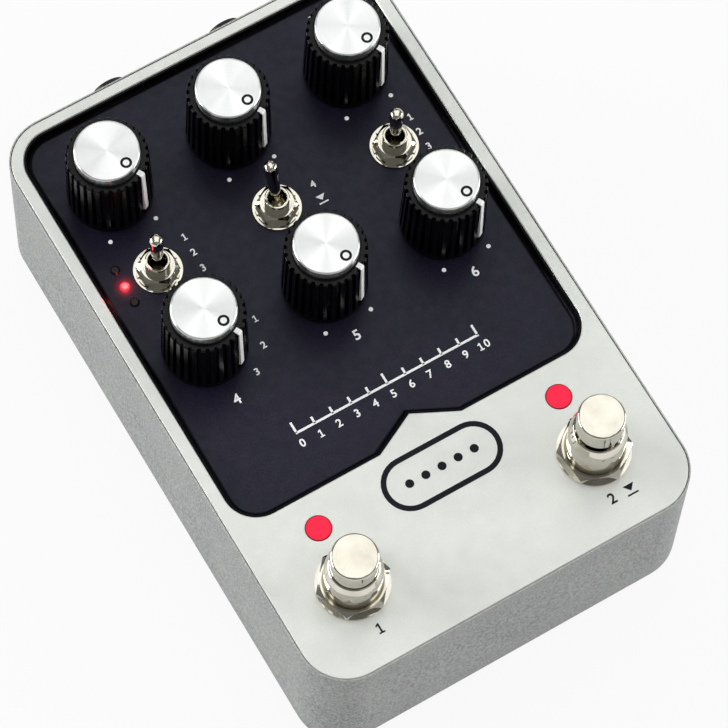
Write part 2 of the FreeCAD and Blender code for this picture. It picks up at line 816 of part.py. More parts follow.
def make_face_panel():
    """The dark panel under the window, with a lip that lines the window's edge."""
    body = new_body("face_panel")
    half_x = CAVITY_HALF_X - S["face_gap"]
    back = CAVITY_HALF_Y - S["face_gap"]
    front = WINDOW_FRONT - S["face_under"]
    sketch = new_sketch(body, "XY_Plane", FACE_BOTTOM)
    draw_box(sketch, -half_x, half_x, front, back)
    pad(body, sketch, S["face_thick"])
    dress(body, "Fillet", CAVITY_CORNER - S["face_gap"], lambda edge: is_back_corner(edge, back))

    lip = new_sketch(body, "XY_Plane", FACE_TOP)
    inset = S["lip_gap"] + S["lip_thick"]
    draw_window(lip, S["lip_gap"])
    draw_window(lip, inset)
    pad(body, lip, S["lip_height"])
    dress(body, "Fillet", S["lip_round"], lambda edge: lies_at(edge, FACE_TOP + S["lip_height"]))
    dress(body, "Fillet", S["lip_cove"], lambda edge: lies_at(edge, FACE_TOP) and is_inside_window(edge, inset))

    holes = []
    for spot, position, row in KNOB_SPOTS:
        holes.append((column(position), row, S["bush_radius"] + S["bush_hole_gap"]))
    for side, position, lean in TOGGLE_SPOTS:
        holes.append((column(position), TOGGLE_ROW, S["toggle_thread_radius"] + S["toggle_hole_gap"]))
    for x, y in status_spots():
        holes.append((x, y, S["status_radius"] + S["status_gap"]))
    cut_circles(body, FACE_TOP, S["face_thick"], holes)
    place(body, ZERO, ZERO, ZERO)


def is_inside_window(edge, inset):
    """True for an edge that keeps within the window drawn in by the inset."""
    box = edge.BoundBox
    side = (WINDOW_HALF - inset).value + 0.01
    front = (WINDOW_FRONT + inset).value - 0.01
    back = (WINDOW_BACK - inset).value + 0.01
    return -side < box.XMin and box.XMax < side and front < box.YMin and box.YMax < back


def is_back_corner(edge, back):
    return is_upright(edge) and near(edge.Vertexes[0].Point.y, back.value)


def status_spots():
    """Three small lamps in a line beside the left toggle, front to back."""
    x = -COLUMN - S["status_offset"]
    row = REAR_ROW - S["status_row_step"]
    return [(x, row + S["status_pitch"] * step) for step in (-1, 0, 1)]


# Knobs

def make_knob(spot, position, row):
    body = new_body("knob_" + spot)
    foot_top = S["knob_gap"] + S["knob_foot_height"]
    moat_floor = KNOB_TOP - S["moat_deep"]
    cap_hole = S["cap_radius"] + S["cap_fit"]
    shaft_hole = S["shaft_radius"] + S["cap_fit"]
    hollow_top = S["knob_gap"] + S["knob_hollow_deep"]
    revolve(body, [
        (S["knob_hollow_radius"], S["knob_gap"]), (S["knob_foot_radius"], S["knob_gap"]),
        (S["knob_foot_radius"], foot_top), (S["knob_top_radius"], KNOB_TOP),
        (KNOB_MOAT, KNOB_TOP), (KNOB_MOAT, moat_floor), (cap_hole, moat_floor),
        (cap_hole, KNOB_SEAT), (ZERO, KNOB_SEAT), (ZERO, SHAFT_HOLE_TOP),
        (shaft_hole, SHAFT_HOLE_TOP), (shaft_hole, hollow_top), (S["knob_hollow_radius"], hollow_top),
    ])
    dress(body, "Fillet", S["knob_edge"], lambda edge: is_round_at(edge, S["knob_top_radius"], KNOB_TOP))

    slot_gap = S["cap_fit"]
    half = S["pointer_width"] / 2 + slot_gap
    slot = new_sketch(body, "XY_Plane", KNOB_TOP)
    draw_box(slot, -half, half, S["cap_radius"], S["knob_foot_radius"] + 1)
    pocket(body, slot, S["pointer_thick"])
    side = new_sketch(body, "XY_Plane", KNOB_TOP)
    side_floor = S["knob_foot_radius"] - S["pointer_thick"]
    draw_box(side, -half, half, side_floor - slot_gap, S["knob_foot_radius"] + 1)
    pocket(body, side, KNOB_TOP - S["pointer_floor"] + slot_gap)

    flute = new_sketch(body, "XY_Plane", KNOB_TOP)
    draw_flute(flute, as_size(180) / S["flute_count"])
    first = pocket(body, flute, KNOB_TOP - S["flute_floor"])
    spread(body, first, flute, S["flute_count"])
    place(body, column(position), row, FACE_TOP, turn=S["knob_turn"])


def draw_flute(sketch, turn):
    """Draw one flute, turned this far from the Y axis: straight sides and a narrower root."""
    root_at = S["knob_foot_radius"] - S["flute_deep"]
    bevel_at = root_at + S["flute_bevel"]
    open_at = S["knob_foot_radius"] + 1
    half = S["flute_half"]
    root_half = S["flute_root_half"]
    outline = [
        (-root_half, root_at), (root_half, root_at), (half, bevel_at),
        (half, open_at), (-half, open_at), (-half, bevel_at),
    ]
    along, across = cosine(turn), sine(turn)
    draw_polygon(sketch, [(out * across + side * along, out * along - side * across) for side, out in outline])


def make_knob_cap(spot, position, row):
    """A spun metal button that stands up out of the moat in the knob's top."""
    body = new_body("knob_cap_" + spot)
    radius = S["cap_radius"]
    top = KNOB_TOP + S["cap_proud"]
    revolve(body, [(ZERO, KNOB_SEAT), (radius, KNOB_SEAT), (radius, top), (ZERO, top)])
    dress(body, "Fillet", S["cap_edge"], lambda edge: is_round_at(edge, radius, top))
    place(body, column(position), row, FACE_TOP, turn=S["knob_turn"])


def make_knob_pointer(spot, position, row):
    """The white strip let into the knob: a short arm on its top and a long one down its side."""
    body = new_body("knob_pointer_" + spot)
    start = KNOB_MOAT + S["cap_fit"]
    outer = S["knob_foot_radius"] + S["pointer_proud"]
    top = KNOB_TOP + S["pointer_proud"]
    sketch = new_sketch(body, "YZ_Plane", -S["pointer_width"] / 2)
    inner = S["knob_foot_radius"] - S["pointer_thick"]
    top_outer = S["knob_top_radius"] + S["pointer_proud"]
    foot_point = S["pointer_floor"] + S["pointer_width"] / 2
    draw_polygon(sketch, [
        (start, KNOB_TOP - S["pointer_thick"]), (inner, KNOB_TOP - S["pointer_thick"]),
        (inner, S["pointer_floor"]), (outer, foot_point),
        (top_outer, KNOB_TOP - S["knob_edge"]), (top_outer - S["knob_edge"], top), (start, top),
    ])
    pad(body, sketch, S["pointer_width"])
    place(body, column(position), row, FACE_TOP, turn=S["knob_turn"])


def make_pot_shaft(spot, position, row):
    body = new_body("pot_shaft_" + spot)
    bottom = -S["shaft_sunk"]
    revolve(body, [
        (ZERO, bottom), (S["shaft_radius"], bottom),
        (S["shaft_radius"], SHAFT_TOP), (ZERO, SHAFT_TOP),
    ])
    place(body, column(position), row, FACE_TOP, turn=S["knob_turn"])


def make_potentiometers():
    pots = []
    for spot, position, row in KNOB_SPOTS:
        body = new_body("potentiometer_" + spot, kept=False)
        half_x = S["pot_width"] / 2
        half_y = S["pot_depth"] / 2
        sketch = new_sketch(body, "XY_Plane", -S["face_thick"] - S["pot_height"])
        draw_box(sketch, -half_x, half_x, -half_y, half_y)
        pad(body, sketch, S["pot_height"])
        bush = new_sketch(body, "XY_Plane", -S["face_thick"])
        draw_circle(bush, ZERO, ZERO, S["bush_radius"])
        pad(body, bush, S["face_thick"] + S["bush_stand"])
        bore = S["shaft_radius"] + S["shaft_play"]
        depth = S["bush_stand"] + S["shaft_sunk"] + S["shaft_end_gap"]
        cut_circles(body, S["bush_stand"], depth, [(0, 0, bore)])
        pots.append(body)
        place(body, column(position), row, FACE_TOP)
    gather("potentiometers", pots)


def make_nut(label, flats, thick, hole, crown=None):
    """A hexagon nut; with a crown its top corners are bevelled away round a circle of that radius."""
    body = new_body(label, kept=False)
    sketch = new_sketch(body, "XY_Plane")
    draw_hexagon(sketch, flats)
    draw_circle(sketch, ZERO, ZERO, hole)
    pad(body, sketch, thick)
    if crown is not None:
        reach = flats / root(as_size(3)) + S["cap_fit"]
        fall = (reach - crown) * S["nut_bevel_slope"]
        groove(body, [(crown, thick), (reach, thick - fall), (reach, thick)])
    return body


def make_pot_nuts():
    nuts = []
    for spot, position, row in KNOB_SPOTS:
        hole = S["bush_radius"] + S["cap_fit"]
        nut = make_nut("pot_nut_" + spot, S["pot_nut_flats"], S["pot_nut_thick"], hole)
        nuts.append(nut)
        place(nut, column(position), row, FACE_TOP)
    gather("pot_nuts", nuts)


# Toggle switches

def make_toggle_switch(side, position):
    """The switch body under the face with its threaded neck standing through it."""
    body = new_body("toggle_switch_" + side)
    half_x = S["toggle_width"] / 2
    half_y = S["toggle_depth"] / 2
    sketch = new_sketch(body, "XY_Plane", -S["face_thick"] - S["toggle_height"])
    draw_box(sketch, -half_x, half_x, -half_y, half_y)
    pad(body, sketch, S["toggle_height"])
    thread = new_sketch(body, "XY_Plane", -S["face_thick"])
    draw_circle(thread, ZERO, ZERO, S["toggle_thread_radius"])
    pad(body, thread, S["face_thick"] + S["toggle_thread_stand"])
    neck = new_sketch(body, "XY_Plane", S["toggle_thread_stand"])
    draw_circle(neck, ZERO, ZERO, S["toggle_neck_radius"])
    pad(body, neck, S["toggle_neck_stand"] - S["toggle_thread_stand"])
    depth = S["toggle_neck_stand"] + S["toggle_bore_sunk"]
    cut_circles(body, S["toggle_neck_stand"], depth, [(0, 0, S["toggle_bore"])])
    rim = (S["toggle_neck_radius"] - S["toggle_bore"]) / 3
    dress(body, "Fillet", rim, lambda edge: lies_at(edge, S["toggle_neck_stand"]))
    place(body, column(position), TOGGLE_ROW, FACE_TOP)


def make_toggle_lever(side, position, lean):
    """A bat lever on a ball; the piece's own origin is the pivot."""
    body = new_body("toggle_lever_" + side)
    ball = S["lever_ball"]
    waist = ball * 0.7
    straight = S["lever_reach"] - S["lever_tip"] * 2
    revolve(body, [
        (ZERO, -S["lever_tail"]), (S["lever_tail_radius"], -S["lever_tail"]),
        (S["lever_tail_radius"], -ball), (waist, -waist), (ball, ZERO), (waist, waist),
        (S["lever_neck"], ball), (S["lever_tip"], straight), (S["lever_tip"], S["lever_reach"]),
        (ZERO, S["lever_reach"]),
    ])
    dress(body, "Fillet", S["lever_tip_round"],
          lambda edge: is_round_at(edge, S["lever_tip"], S["lever_reach"]))
    place(body, column(position), TOGGLE_ROW, FACE_TOP + S["lever_pivot"], tilt=lean)


def make_ring(label, outer, hole, thick):
    body = new_body(label, kept=False)
    sketch = new_sketch(body, "XY_Plane")
    draw_circle(sketch, ZERO, ZERO, outer)
    draw_circle(sketch, ZERO, ZERO, hole)
    pad(body, sketch, thick)
    return body


def make_toggle_hardware():
    """Under each toggle's nut lie a flat washer and a washer with teeth round its edge."""
    washers = []
    nuts = []
    hole = S["toggle_thread_radius"] + S["cap_fit"]
    for side, position, lean in TOGGLE_SPOTS:
        washer = make_ring("toggle_washer_" + side, S["toggle_washer_radius"], hole,
                           S["toggle_washer_thick"])
        place(washer, column(position), TOGGLE_ROW, FACE_TOP)
        level = FACE_TOP + S["toggle_washer_thick"]
        lock = make_ring("toggle_lock_washer_" + side, S["toggle_lock_radius"], hole,
                         S["toggle_lock_thick"])
        notch = new_sketch(lock, "XY_Plane", S["toggle_lock_thick"])
        half = S["toggle_lock_notch"] / 2
        draw_box(notch, -half, half, S["toggle_lock_root"], S["toggle_lock_radius"] + half)
        first = pocket(lock, notch, S["toggle_lock_thick"])
        spread(lock, first, notch, S["toggle_lock_teeth"])
        place(lock, column(position), TOGGLE_ROW, level)
        washers += [washer, lock]
        nut = make_nut("toggle_nut_" + side, S["toggle_nut_flats"], S["toggle_nut_thick"], hole,
                       S["toggle_nut_crown"])
        place(nut, column(position), TOGGLE_ROW, level + S["toggle_lock_thick"])
        nuts.append(nut)
    gather("toggle_washers", washers)
    gather("toggle_nuts", nuts)


# Foot switches

def make_footswitch_body(side, position):
    """A block under the plate and a round neck through it, with a sloping shoulder at the top."""
    body = new_body("footswitch_body_" + side)
    half = S["stomp_width"] / 2
    block_top = -S["plate_thick"]
    radius = S["stomp_thread_radius"]
    foot = S["stomp_stand"] - S["stomp_shoulder"]
    sketch = new_sketch(body, "XY_Plane", block_top - S["stomp_height"])
    draw_box(sketch, -half, half, -half, half)
    pad(body, sketch, S["stomp_height"])
    revolve(body, [
        (ZERO, block_top), (radius, block_top), (radius, foot),
        (S["stomp_lip_radius"], S["stomp_stand"]), (ZERO, S["stomp_stand"]),
    ])
    dress(body, "Fillet", S["stomp_shoulder_round"], lambda edge: is_round_at(edge, radius, foot))
    dress(body, "Fillet", S["stomp_lip_round"],
          lambda edge: is_round_at(edge, S["stomp_lip_radius"], S["stomp_stand"]))
    mouth = S["button_cap_radius"] + S["button_play"]
    cut_circles(body, S["stomp_stand"], S["stomp_mouth_deep"], [(0, 0, mouth)])
    bore = S["button_stem_radius"] + S["button_play"]
    cut_circles(body, S["stomp_stand"], S["stomp_bore_deep"], [(0, 0, bore)])
    place(body, column(position), PEDAL_ROW, PLATE_TOP - STOMP_DROP[side])


def make_footswitch_button(side, position):
    """A round cap on a stem; the piece's own origin is the middle of the cap's top."""
    body = new_body("footswitch_button_" + side)
    under = -S["button_cap_height"]
    edge = S["button_edge"]
    radius = S["button_cap_radius"]
    revolve(body, [
        (ZERO, -S["button_length"]), (S["button_stem_radius"], -S["button_length"]),
        (S["button_stem_radius"], under), (radius - edge / 2, under), (radius, under + edge / 2),
        (radius, ZERO), (ZERO, ZERO),
    ])
    dress(body, "Fillet", edge, lambda e: is_round_at(e, radius, ZERO))
    rise = S["stomp_stand"] - STOMP_DROP[side] + S["button_stand"] - BUTTON_LATCH[side]
    place(body, column(position), PEDAL_ROW, PLATE_TOP + rise)


def make_footswitch_hardware():
    """A washer and a nut on each switch, and the spacer that sets the left one lower."""
    washers = []
    nuts = []
    hole = S["stomp_thread_radius"] + S["cap_fit"]
    for side, sign in SIDES:
        washer = make_ring("footswitch_washer_" + side, S["stomp_washer_radius"], hole,
                           S["stomp_washer_thick"])
        place(washer, column(sign), PEDAL_ROW, PLATE_TOP)
        washers.append(washer)
        nut = make_nut("footswitch_nut_" + side, S["stomp_nut_flats"], S["stomp_nut_thick"], hole,
                       S["stomp_nut_crown"])
        dress(nut, "Chamfer", S["stomp_nut_edge"], lambda e: is_round_at(e, hole, S["stomp_nut_thick"]))
        place(nut, column(sign), PEDAL_ROW, PLATE_TOP + S["stomp_washer_thick"], turn=STOMP_NUT_TURN[side])
        nuts.append(nut)
    spacer = make_ring("footswitch_spacer_left", S["stomp_washer_radius"], hole, S["stomp_left_drop"])
    place(spacer, column(-1), PEDAL_ROW, PLATE_BOTTOM - S["stomp_left_drop"])
    washers.append(spacer)
    gather("footswitch_washers", washers)
    gather("footswitch_nuts", nuts)


# Lamps

def make_lamp_lens(side, position):
    """A flush round lens whose stem stands on the control board, held by a flange under the plate."""
    body = new_body("lamp_lens_" + side)
    radius = S["lamp_radius"]
    flange = radius + S["lamp_flange"]
    under = -S["plate_thick"]
    bottom = CONTROL_BOARD_TOP - PLATE_TOP
    revolve(body, [
        (ZERO, bottom), (radius, bottom), (radius, under - S["lamp_flange_thick"]),
        (flange, under - S["lamp_flange_thick"]), (flange, under), (radius, under),
        (radius, ZERO), (radius - S["lamp_proud"], S["lamp_proud"]), (ZERO, S["lamp_proud"]),
    ])
    place(body, column(position), LAMP_ROW, PLATE_TOP)


def make_status_light(label, x, y, kept):
    body = new_body(label, kept)
    bottom = CONTROL_BOARD_TOP - FACE_TOP
    radius = S["status_radius"]
    top = S["status_proud"]
    revolve(body, [
        (ZERO, bottom), (radius, bottom), (radius, ZERO), (radius - top, top), (ZERO, top),
    ])
    place(body, x, y, FACE_TOP)
    return body


def make_status_lights():
    front, middle, back = status_spots()
    make_status_light("status_light_lit", middle[0], middle[1], True)
    unlit = [
        make_status_light("status_light_front", front[0], front[1], False),
        make_status_light("status_light_back", back[0], back[1], False),
    ]
    gather("status_lights_unlit", unlit)


# Circuit boards

def make_boards():
    control = new_body("control_board")
    half = CAVITY_HALF_X - S["control_board_gap"]
    sketch = new_sketch(control, "XY_Plane", CONTROL_BOARD_TOP - S["board_thick"])
    draw_box(sketch, -half, half, CONTROL_BOARD_FRONT, CONTROL_BOARD_BACK)
    pad(control, sketch, S["board_thick"])
    place(control, ZERO, ZERO, ZERO)

    main = new_body("main_board")
    front = S["main_board_front_gap"] - CAVITY_HALF_Y
    back = CAVITY_HALF_Y - S["main_board_gap"]
    sketch = new_sketch(main, "XY_Plane", MAIN_BOARD_BOTTOM)
    draw_box(sketch, -MAIN_BOARD_HALF, MAIN_BOARD_HALF, front, back)
    pad(main, sketch, S["board_thick"])
    chips = new_sketch(main, "XY_Plane", MAIN_BOARD_TOP)
    half = S["chip_width"] / 2
    row = CONTROL_BOARD_FRONT + S["chip_inset"]
    for sign in (-1, 1):
        middle = S["chip_width"] * sign
        draw_box(chips, middle - half, middle + half, row - half, row + half)
    pad(main, chips, S["chip_thick"])
    place(main, ZERO, ZERO, ZERO)

    header = new_body("board_header")
    half_x = S["header_width"] / 2
    half_y = S["header_depth"] / 2
    sketch = new_sketch(header, "XY_Plane", MAIN_BOARD_TOP)
    row = CONTROL_BOARD_FRONT + S["header_inset"]
    draw_box(sketch, -half_x, half_x, row - half_y, row + half_y)
    pad(header, sketch, CONTROL_BOARD_TOP - S["board_thick"] - MAIN_BOARD_TOP)
    place(header, ZERO, ZERO, ZERO)

    spacers = []
    half_x = MAIN_BOARD_HALF - S["standoff_inset_x"]
    half_y = BACK_WALL_OUT - S["standoff_inset_y"]
    for i, (x, y) in enumerate(corner_spots(half_x, half_y), start=1):
        body = new_body("board_standoff_%d" % i, kept=False)
        sketch = new_sketch(body, "XY_Plane")
        draw_hexagon(sketch, S["standoff_radius"] * 2)
        pad(body, sketch, S["standoff_height"])
        spacers.append(body)
        place(body, x, y, BASE_TOP)
    gather("board_standoffs", spacers)


# Sockets on the back wall

def make_audio_jacks():
    """Jack sockets: each a block inside the wall and a round neck that stands out behind it."""
    jacks = []
    nuts = []
    names = ("outer_left", "inner_left", "inner_right", "outer_right")
    for name, (x, z) in zip(names, JACK_SPOTS):
        body = new_body("audio_jack_" + name, kept=False)
        half_x = S["jack_width"] / 2
        half_z = S["jack_height"] / 2
        block = new_sketch(body, "XZ_Plane", S["case_wall"])
        draw_box(block, -half_x, half_x, -half_z, half_z)
        pad(body, block, S["jack_deep"])
        neck = new_sketch(body, "XZ_Plane", -S["jack_reach"])
        draw_circle(neck, ZERO, ZERO, S["jack_bush_radius"])
        pad(body, neck, S["jack_reach"] + S["case_wall"])
        bore = new_sketch(body, "XZ_Plane", -S["jack_reach"] + S["jack_bore_deep"])
        draw_circle(bore, ZERO, ZERO, S["jack_bore"])
        pocket(body, bore, S["jack_bore_deep"])
        rim = (S["jack_bush_radius"] - S["jack_bore"]) / 3
        dress(body, "Fillet", rim, lambda edge: near(edge.BoundBox.YMin, S["jack_reach"].value))
        jacks.append(body)
        place(body, x, BACK_WALL_OUT, z)
        nut = new_body("jack_nut_" + name, kept=False)
        ring = new_sketch(nut, "XZ_Plane", -S["jack_nut_thick"])
        draw_hexagon(ring, S["jack_nut_flats"])
        draw_circle(ring, ZERO, ZERO, S["jack_bush_radius"] + S["cap_fit"])
        pad(nut, ring, S["jack_nut_thick"])
        nuts.append(nut)
        place(nut, x, BACK_WALL_OUT, z)
    gather("audio_jacks", jacks)
    gather("jack_nuts", nuts)


def make_power_socket():
    body = new_body("power_socket")
    half = S["power_width"] / 2
    block = new_sketch(body, "XZ_Plane")
    draw_box(block, -half, half, ZERO, S["power_height"])
    pad(body, block, S["power_deep"])
    middle = S["power_height"] / 2
    bore = new_sketch(body, "XZ_Plane", S["power_bore_deep"])
    draw_circle(bore, ZERO, middle, S["power_bore"])
    pocket(body, bore, S["power_bore_deep"])
    pin = new_sketch(body, "XZ_Plane", S["power_pin_back"])
    draw_circle(pin, ZERO, middle, S["power_pin"])
    pad(body, pin, S["power_bore_deep"] - S["power_pin_back"])
    place(body, ZERO, BACK_WALL_OUT, MAIN_BOARD_TOP)


def make_usb_socket():
    body = new_body("usb_socket")
    half_x = S["usb_width"] / 2
    half_z = S["usb_height"] / 2
    block = new_sketch(body, "XZ_Plane")
    draw_rounded_middle(block, half_x, half_z, S["usb_corner"])
    pad(body, block, S["usb_deep"])
    shell = S["usb_shell"]
    slot_deep = S["usb_deep"] - shell
    slot = new_sketch(body, "XZ_Plane", slot_deep)
    draw_rounded_middle(slot, half_x - shell, half_z - shell, S["usb_corner"] - shell)
    pocket(body, slot, slot_deep)
    tongue = new_sketch(body, "XZ_Plane", S["usb_tongue_back"])
    wide = S["usb_tongue_width"] / 2
    thick = S["usb_tongue_thick"] / 2
    draw_box(tongue, -wide, wide, -thick, thick)
    pad(body, tongue, slot_deep - S["usb_tongue_back"])
    place(body, -JACK_INNER_X, BACK_WALL_OUT, MAIN_BOARD_TOP + half_z)


def make_pair_button():
    """A small round button through the back wall, and the switch on the main board behind it."""
    button = new_body("pair_button")
    stem = new_sketch(button, "XZ_Plane", -S["pair_proud"])
    draw_circle(stem, ZERO, ZERO, S["pair_radius"])
    pad(button, stem, S["pair_proud"] + S["case_wall"] + S["pair_stem_sunk"])
    place(button, JACK_INNER_X, BACK_WALL_OUT, MAIN_BOARD_TOP + S["pair_rise"])

    switch = new_body("pair_switch")
    half = S["pair_switch_width"] / 2
    block = new_sketch(switch, "XZ_Plane", S["case_wall"] + S["pair_switch_gap"])
    draw_box(block, -half, half, -S["pair_rise"], S["pair_switch_height"] - S["pair_rise"])
    pad(switch, block, S["pair_switch_deep"])
    seat_deep = S["pair_stem_sunk"] + S["pair_travel"] + S["pair_play"]
    seat = new_sketch(switch, "XZ_Plane", S["case_wall"] + seat_deep)
    draw_circle(seat, ZERO, ZERO, S["pair_radius"] + S["pair_play"])
    pocket(switch, seat, seat_deep)
    place(switch, JACK_INNER_X, BACK_WALL_OUT, MAIN_BOARD_TOP + S["pair_rise"])


def build():
    make_case_shell()
    make_top_plate()
    make_face_panel()
    make_base_plate()
    make_base_screws()
    make_rubber_feet()
    for spot, position, row in KNOB_SPOTS:
        make_knob(spot, position, row)
        make_knob_cap(spot, position, row)
        make_knob_pointer(spot, position, row)
        make_pot_shaft(spot, position, row)
    make_potentiometers()
    make_pot_nuts()
    for side, position, lean in TOGGLE_SPOTS:
        make_toggle_switch(side, position)
        make_toggle_lever(side, position, lean)
    make_toggle_hardware()
    for side, sign in SIDES:
        make_footswitch_body(side, sign)
        make_footswitch_button(side, sign)
        make_lamp_lens(side, sign)
    make_footswitch_hardware()
    make_status_lights()
    make_boards()
    make_audio_jacks()
    make_power_socket()
    make_usb_socket()
    make_pair_button()


def check_document():
    doc.recompute()
    for thing in doc.Objects:
        if "Invalid" in thing.State or "Error" in thing.State:
            raise ValueError("%s failed: %s" % (thing.Label, thing.State))
    for node in nodes:
        if node.Shape.isNull() or not node.Shape.isValid():
            raise ValueError("%s has no valid shape" % node.Label)


def export():
    os.makedirs("parts", exist_ok=True)
    for node in nodes:
        node.Shape.exportStep("parts/%s.step" % node.Label)
        print("%-28s %d solid(s), %9.1f mm3" % (node.Label, len(node.Shape.Solids), node.Shape.Volume))


build()
check_document()
export()
print("%d nodes" % len(nodes))
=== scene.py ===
import json
import math

import bmesh
import bpy
from mathutils import Matrix, Quaternion, Vector


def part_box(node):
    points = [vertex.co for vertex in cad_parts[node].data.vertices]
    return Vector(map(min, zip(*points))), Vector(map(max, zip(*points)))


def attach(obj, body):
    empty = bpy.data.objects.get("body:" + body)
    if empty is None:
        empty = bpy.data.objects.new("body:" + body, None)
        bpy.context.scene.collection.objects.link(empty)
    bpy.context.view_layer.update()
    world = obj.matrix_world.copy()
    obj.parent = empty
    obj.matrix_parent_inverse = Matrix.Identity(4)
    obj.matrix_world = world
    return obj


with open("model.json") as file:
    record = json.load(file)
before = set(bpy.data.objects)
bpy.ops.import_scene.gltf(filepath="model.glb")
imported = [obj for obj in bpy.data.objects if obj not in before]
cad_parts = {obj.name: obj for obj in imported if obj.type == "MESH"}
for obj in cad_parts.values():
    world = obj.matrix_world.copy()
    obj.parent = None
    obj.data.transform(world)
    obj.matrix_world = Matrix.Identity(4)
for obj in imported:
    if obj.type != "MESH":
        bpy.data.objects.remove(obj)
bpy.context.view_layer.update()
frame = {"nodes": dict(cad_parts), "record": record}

MM = 0.001
WHITE = (1.0, 1.0, 1.0, 1.0)


def middle(node):
    """Middle of a node's box, seen from above."""
    low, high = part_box(node)
    return ((low[0] + high[0]) / 2, (low[1] + high[1]) / 2)


# The plate lies on the face panel, so its underside is the face's level
PLATE_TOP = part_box("top_plate")[1][2]
FACE_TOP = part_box("top_plate")[0][2]
KNOBS = {
    spot: middle("knob_" + spot)
    for spot in ("rear_left", "rear_middle", "rear_right", "front_left", "front_middle", "front_right")
}
TOGGLES = {side: middle("toggle_switch_" + side) for side in ("left", "middle", "right")}
FOOT_SWITCHES = {side: middle("footswitch_body_" + side) for side in ("left", "right")}
STATUS_SPOT = middle("status_light_lit")
STATUS_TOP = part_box("status_light_lit")[1][2]

# Nearly all of a noise texture's values lie between these two
NOISE_LOW, NOISE_HIGH = 0.3, 0.7


class Nodes:
    """One node tree, and short ways to add and join its nodes."""

    def __init__(self, tree):
        self.tree = tree

    def add(self, kind, settings=None, **inputs):
        node = self.tree.nodes.new("ShaderNode" + kind)
        for name, value in (settings or {}).items():
            setattr(node, name, value)
        for name, value in inputs.items():
            self.feed(node, name.replace("_", " "), value)
        return node

    def feed(self, node, socket, value):
        """Set a socket to a plain value, or join it to another node's output."""
        if isinstance(value, bpy.types.NodeSocket):
            self.tree.links.new(value, node.inputs[socket])
        else:
            node.inputs[socket].default_value = value

    def math(self, operation, first, second):
        node = self.add("Math", {"operation": operation})
        self.feed(node, 0, first)
        self.feed(node, 1, second)
        return node.outputs[0]

    def vector(self, operation, first, second=None):
        node = self.add("VectorMath", {"operation": operation})
        self.feed(node, 0, first)
        if second is not None:
            self.feed(node, 1, second)
        return node.outputs

    def upward(self, vector):
        """The Z part of a vector."""
        return self.add("SeparateXYZ", Vector=vector).outputs["Z"]

    def spread(self, value, low, high, new_low=0.0, new_high=1.0):
        """Stretch a value's range from low..high to new_low..new_high, held at the ends."""
        node = self.add("MapRange", Value=value, From_Min=low, From_Max=high, To_Min=new_low, To_Max=new_high)
        return node.outputs[0]

    def backdrop_seen(self):
        """1 for rays from the camera, and for those that gloss or glass sends on; else 0."""
        path = self.add("LightPath").outputs
        seen = self.math("MAXIMUM", path["Is Camera Ray"], path["Is Glossy Ray"])
        return self.math("MAXIMUM", seen, path["Is Transmission Ray"])

    def mix_shaders(self, amount, first, second):
        node = self.add("MixShader")
        self.feed(node, 0, amount)
        self.feed(node, 1, first)
        self.feed(node, 2, second)
        return node.outputs[0]


class Shader(Nodes):
    """One procedural material, with its main shader and its texture coordinates."""

    def __init__(self, name, **sockets):
        self.material = bpy.data.materials.new(name)
        self.material.use_nodes = True
        super().__init__(self.material.node_tree)
        self.main = self.tree.nodes["Principled BSDF"]
        for socket, value in sockets.items():
            self.main_feed(socket.replace("_", " "), value)
        self.places = self.add("TexCoord").outputs

    def main_feed(self, socket, value):
        self.feed(self.main, socket, value)

    def noise(self, scale, detail=2.0, roughness=0.5, where=None):
        where = where or self.places["Object"]
        node = self.add("TexNoise", Vector=where, Scale=scale, Detail=detail, Roughness=roughness)
        return node.outputs["Fac"]

    def patches(self, scale, detail=2.0, low=NOISE_LOW, high=NOISE_HIGH):
        """Noise stretched to reach from 0 to 1."""
        return self.spread(self.noise(scale, detail), low, high)

    def hairlines(self, scales):
        """Fine lines: noise drawn out along the axes whose scale is low."""
        where = self.add("Mapping", Vector=self.places["Object"], Scale=scales).outputs["Vector"]
        return self.noise(1.0, roughness=0.6, where=where)

    def uneven_roughness(self, scale, smooth, rough, detail=2.0):
        noise = self.noise(scale, detail)
        self.main_feed("Roughness", self.spread(noise, NOISE_LOW, NOISE_HIGH, smooth, rough))

    def reach(self):
        """Distance from the piece's upright middle line, with the piece one unit across."""
        centred = self.add("Mapping", Vector=self.places["Generated"], Location=(-0.5, -0.5, 0.0))
        flat = self.vector("MULTIPLY", centred.outputs["Vector"], (1.0, 1.0, 0.0))
        return self.vector("LENGTH", flat["Vector"])["Value"]

    def blend(self, amount, first, second):
        node = self.add("Mix", {"data_type": "RGBA"})
        self.feed(node, 0, amount)
        self.feed(node, 6, first)
        self.feed(node, 7, second)
        return node.outputs[2]

    def bump(self, height, strength, distance):
        node = self.add("Bump", Height=height, Strength=strength, Distance=distance)
        self.main_feed("Normal", node.outputs["Normal"])

    def edge_mask(self, radius, gain):
        """1 on sharp edges and 0 on open surface, from a rounded normal set against the true one."""
        soft = self.add("Bevel", {"samples": 6}, Radius=radius).outputs["Normal"]
        true = self.add("NewGeometry").outputs["Normal"]
        likeness = self.vector("DOT_PRODUCT", soft, true)["Value"]
        return self.spread(likeness, 1.0, 1.0 - gain)


def rgb(red, green, blue):
    """A display colour from 0 to 255, as the linear colour that a shader takes."""
    def linear(part):
        part = part / 255
        return part / 12.92 if part <= 0.04045 else ((part + 0.055) / 1.055) ** 2.4
    return (linear(red), linear(green), linear(blue), 1.0)


# Materials

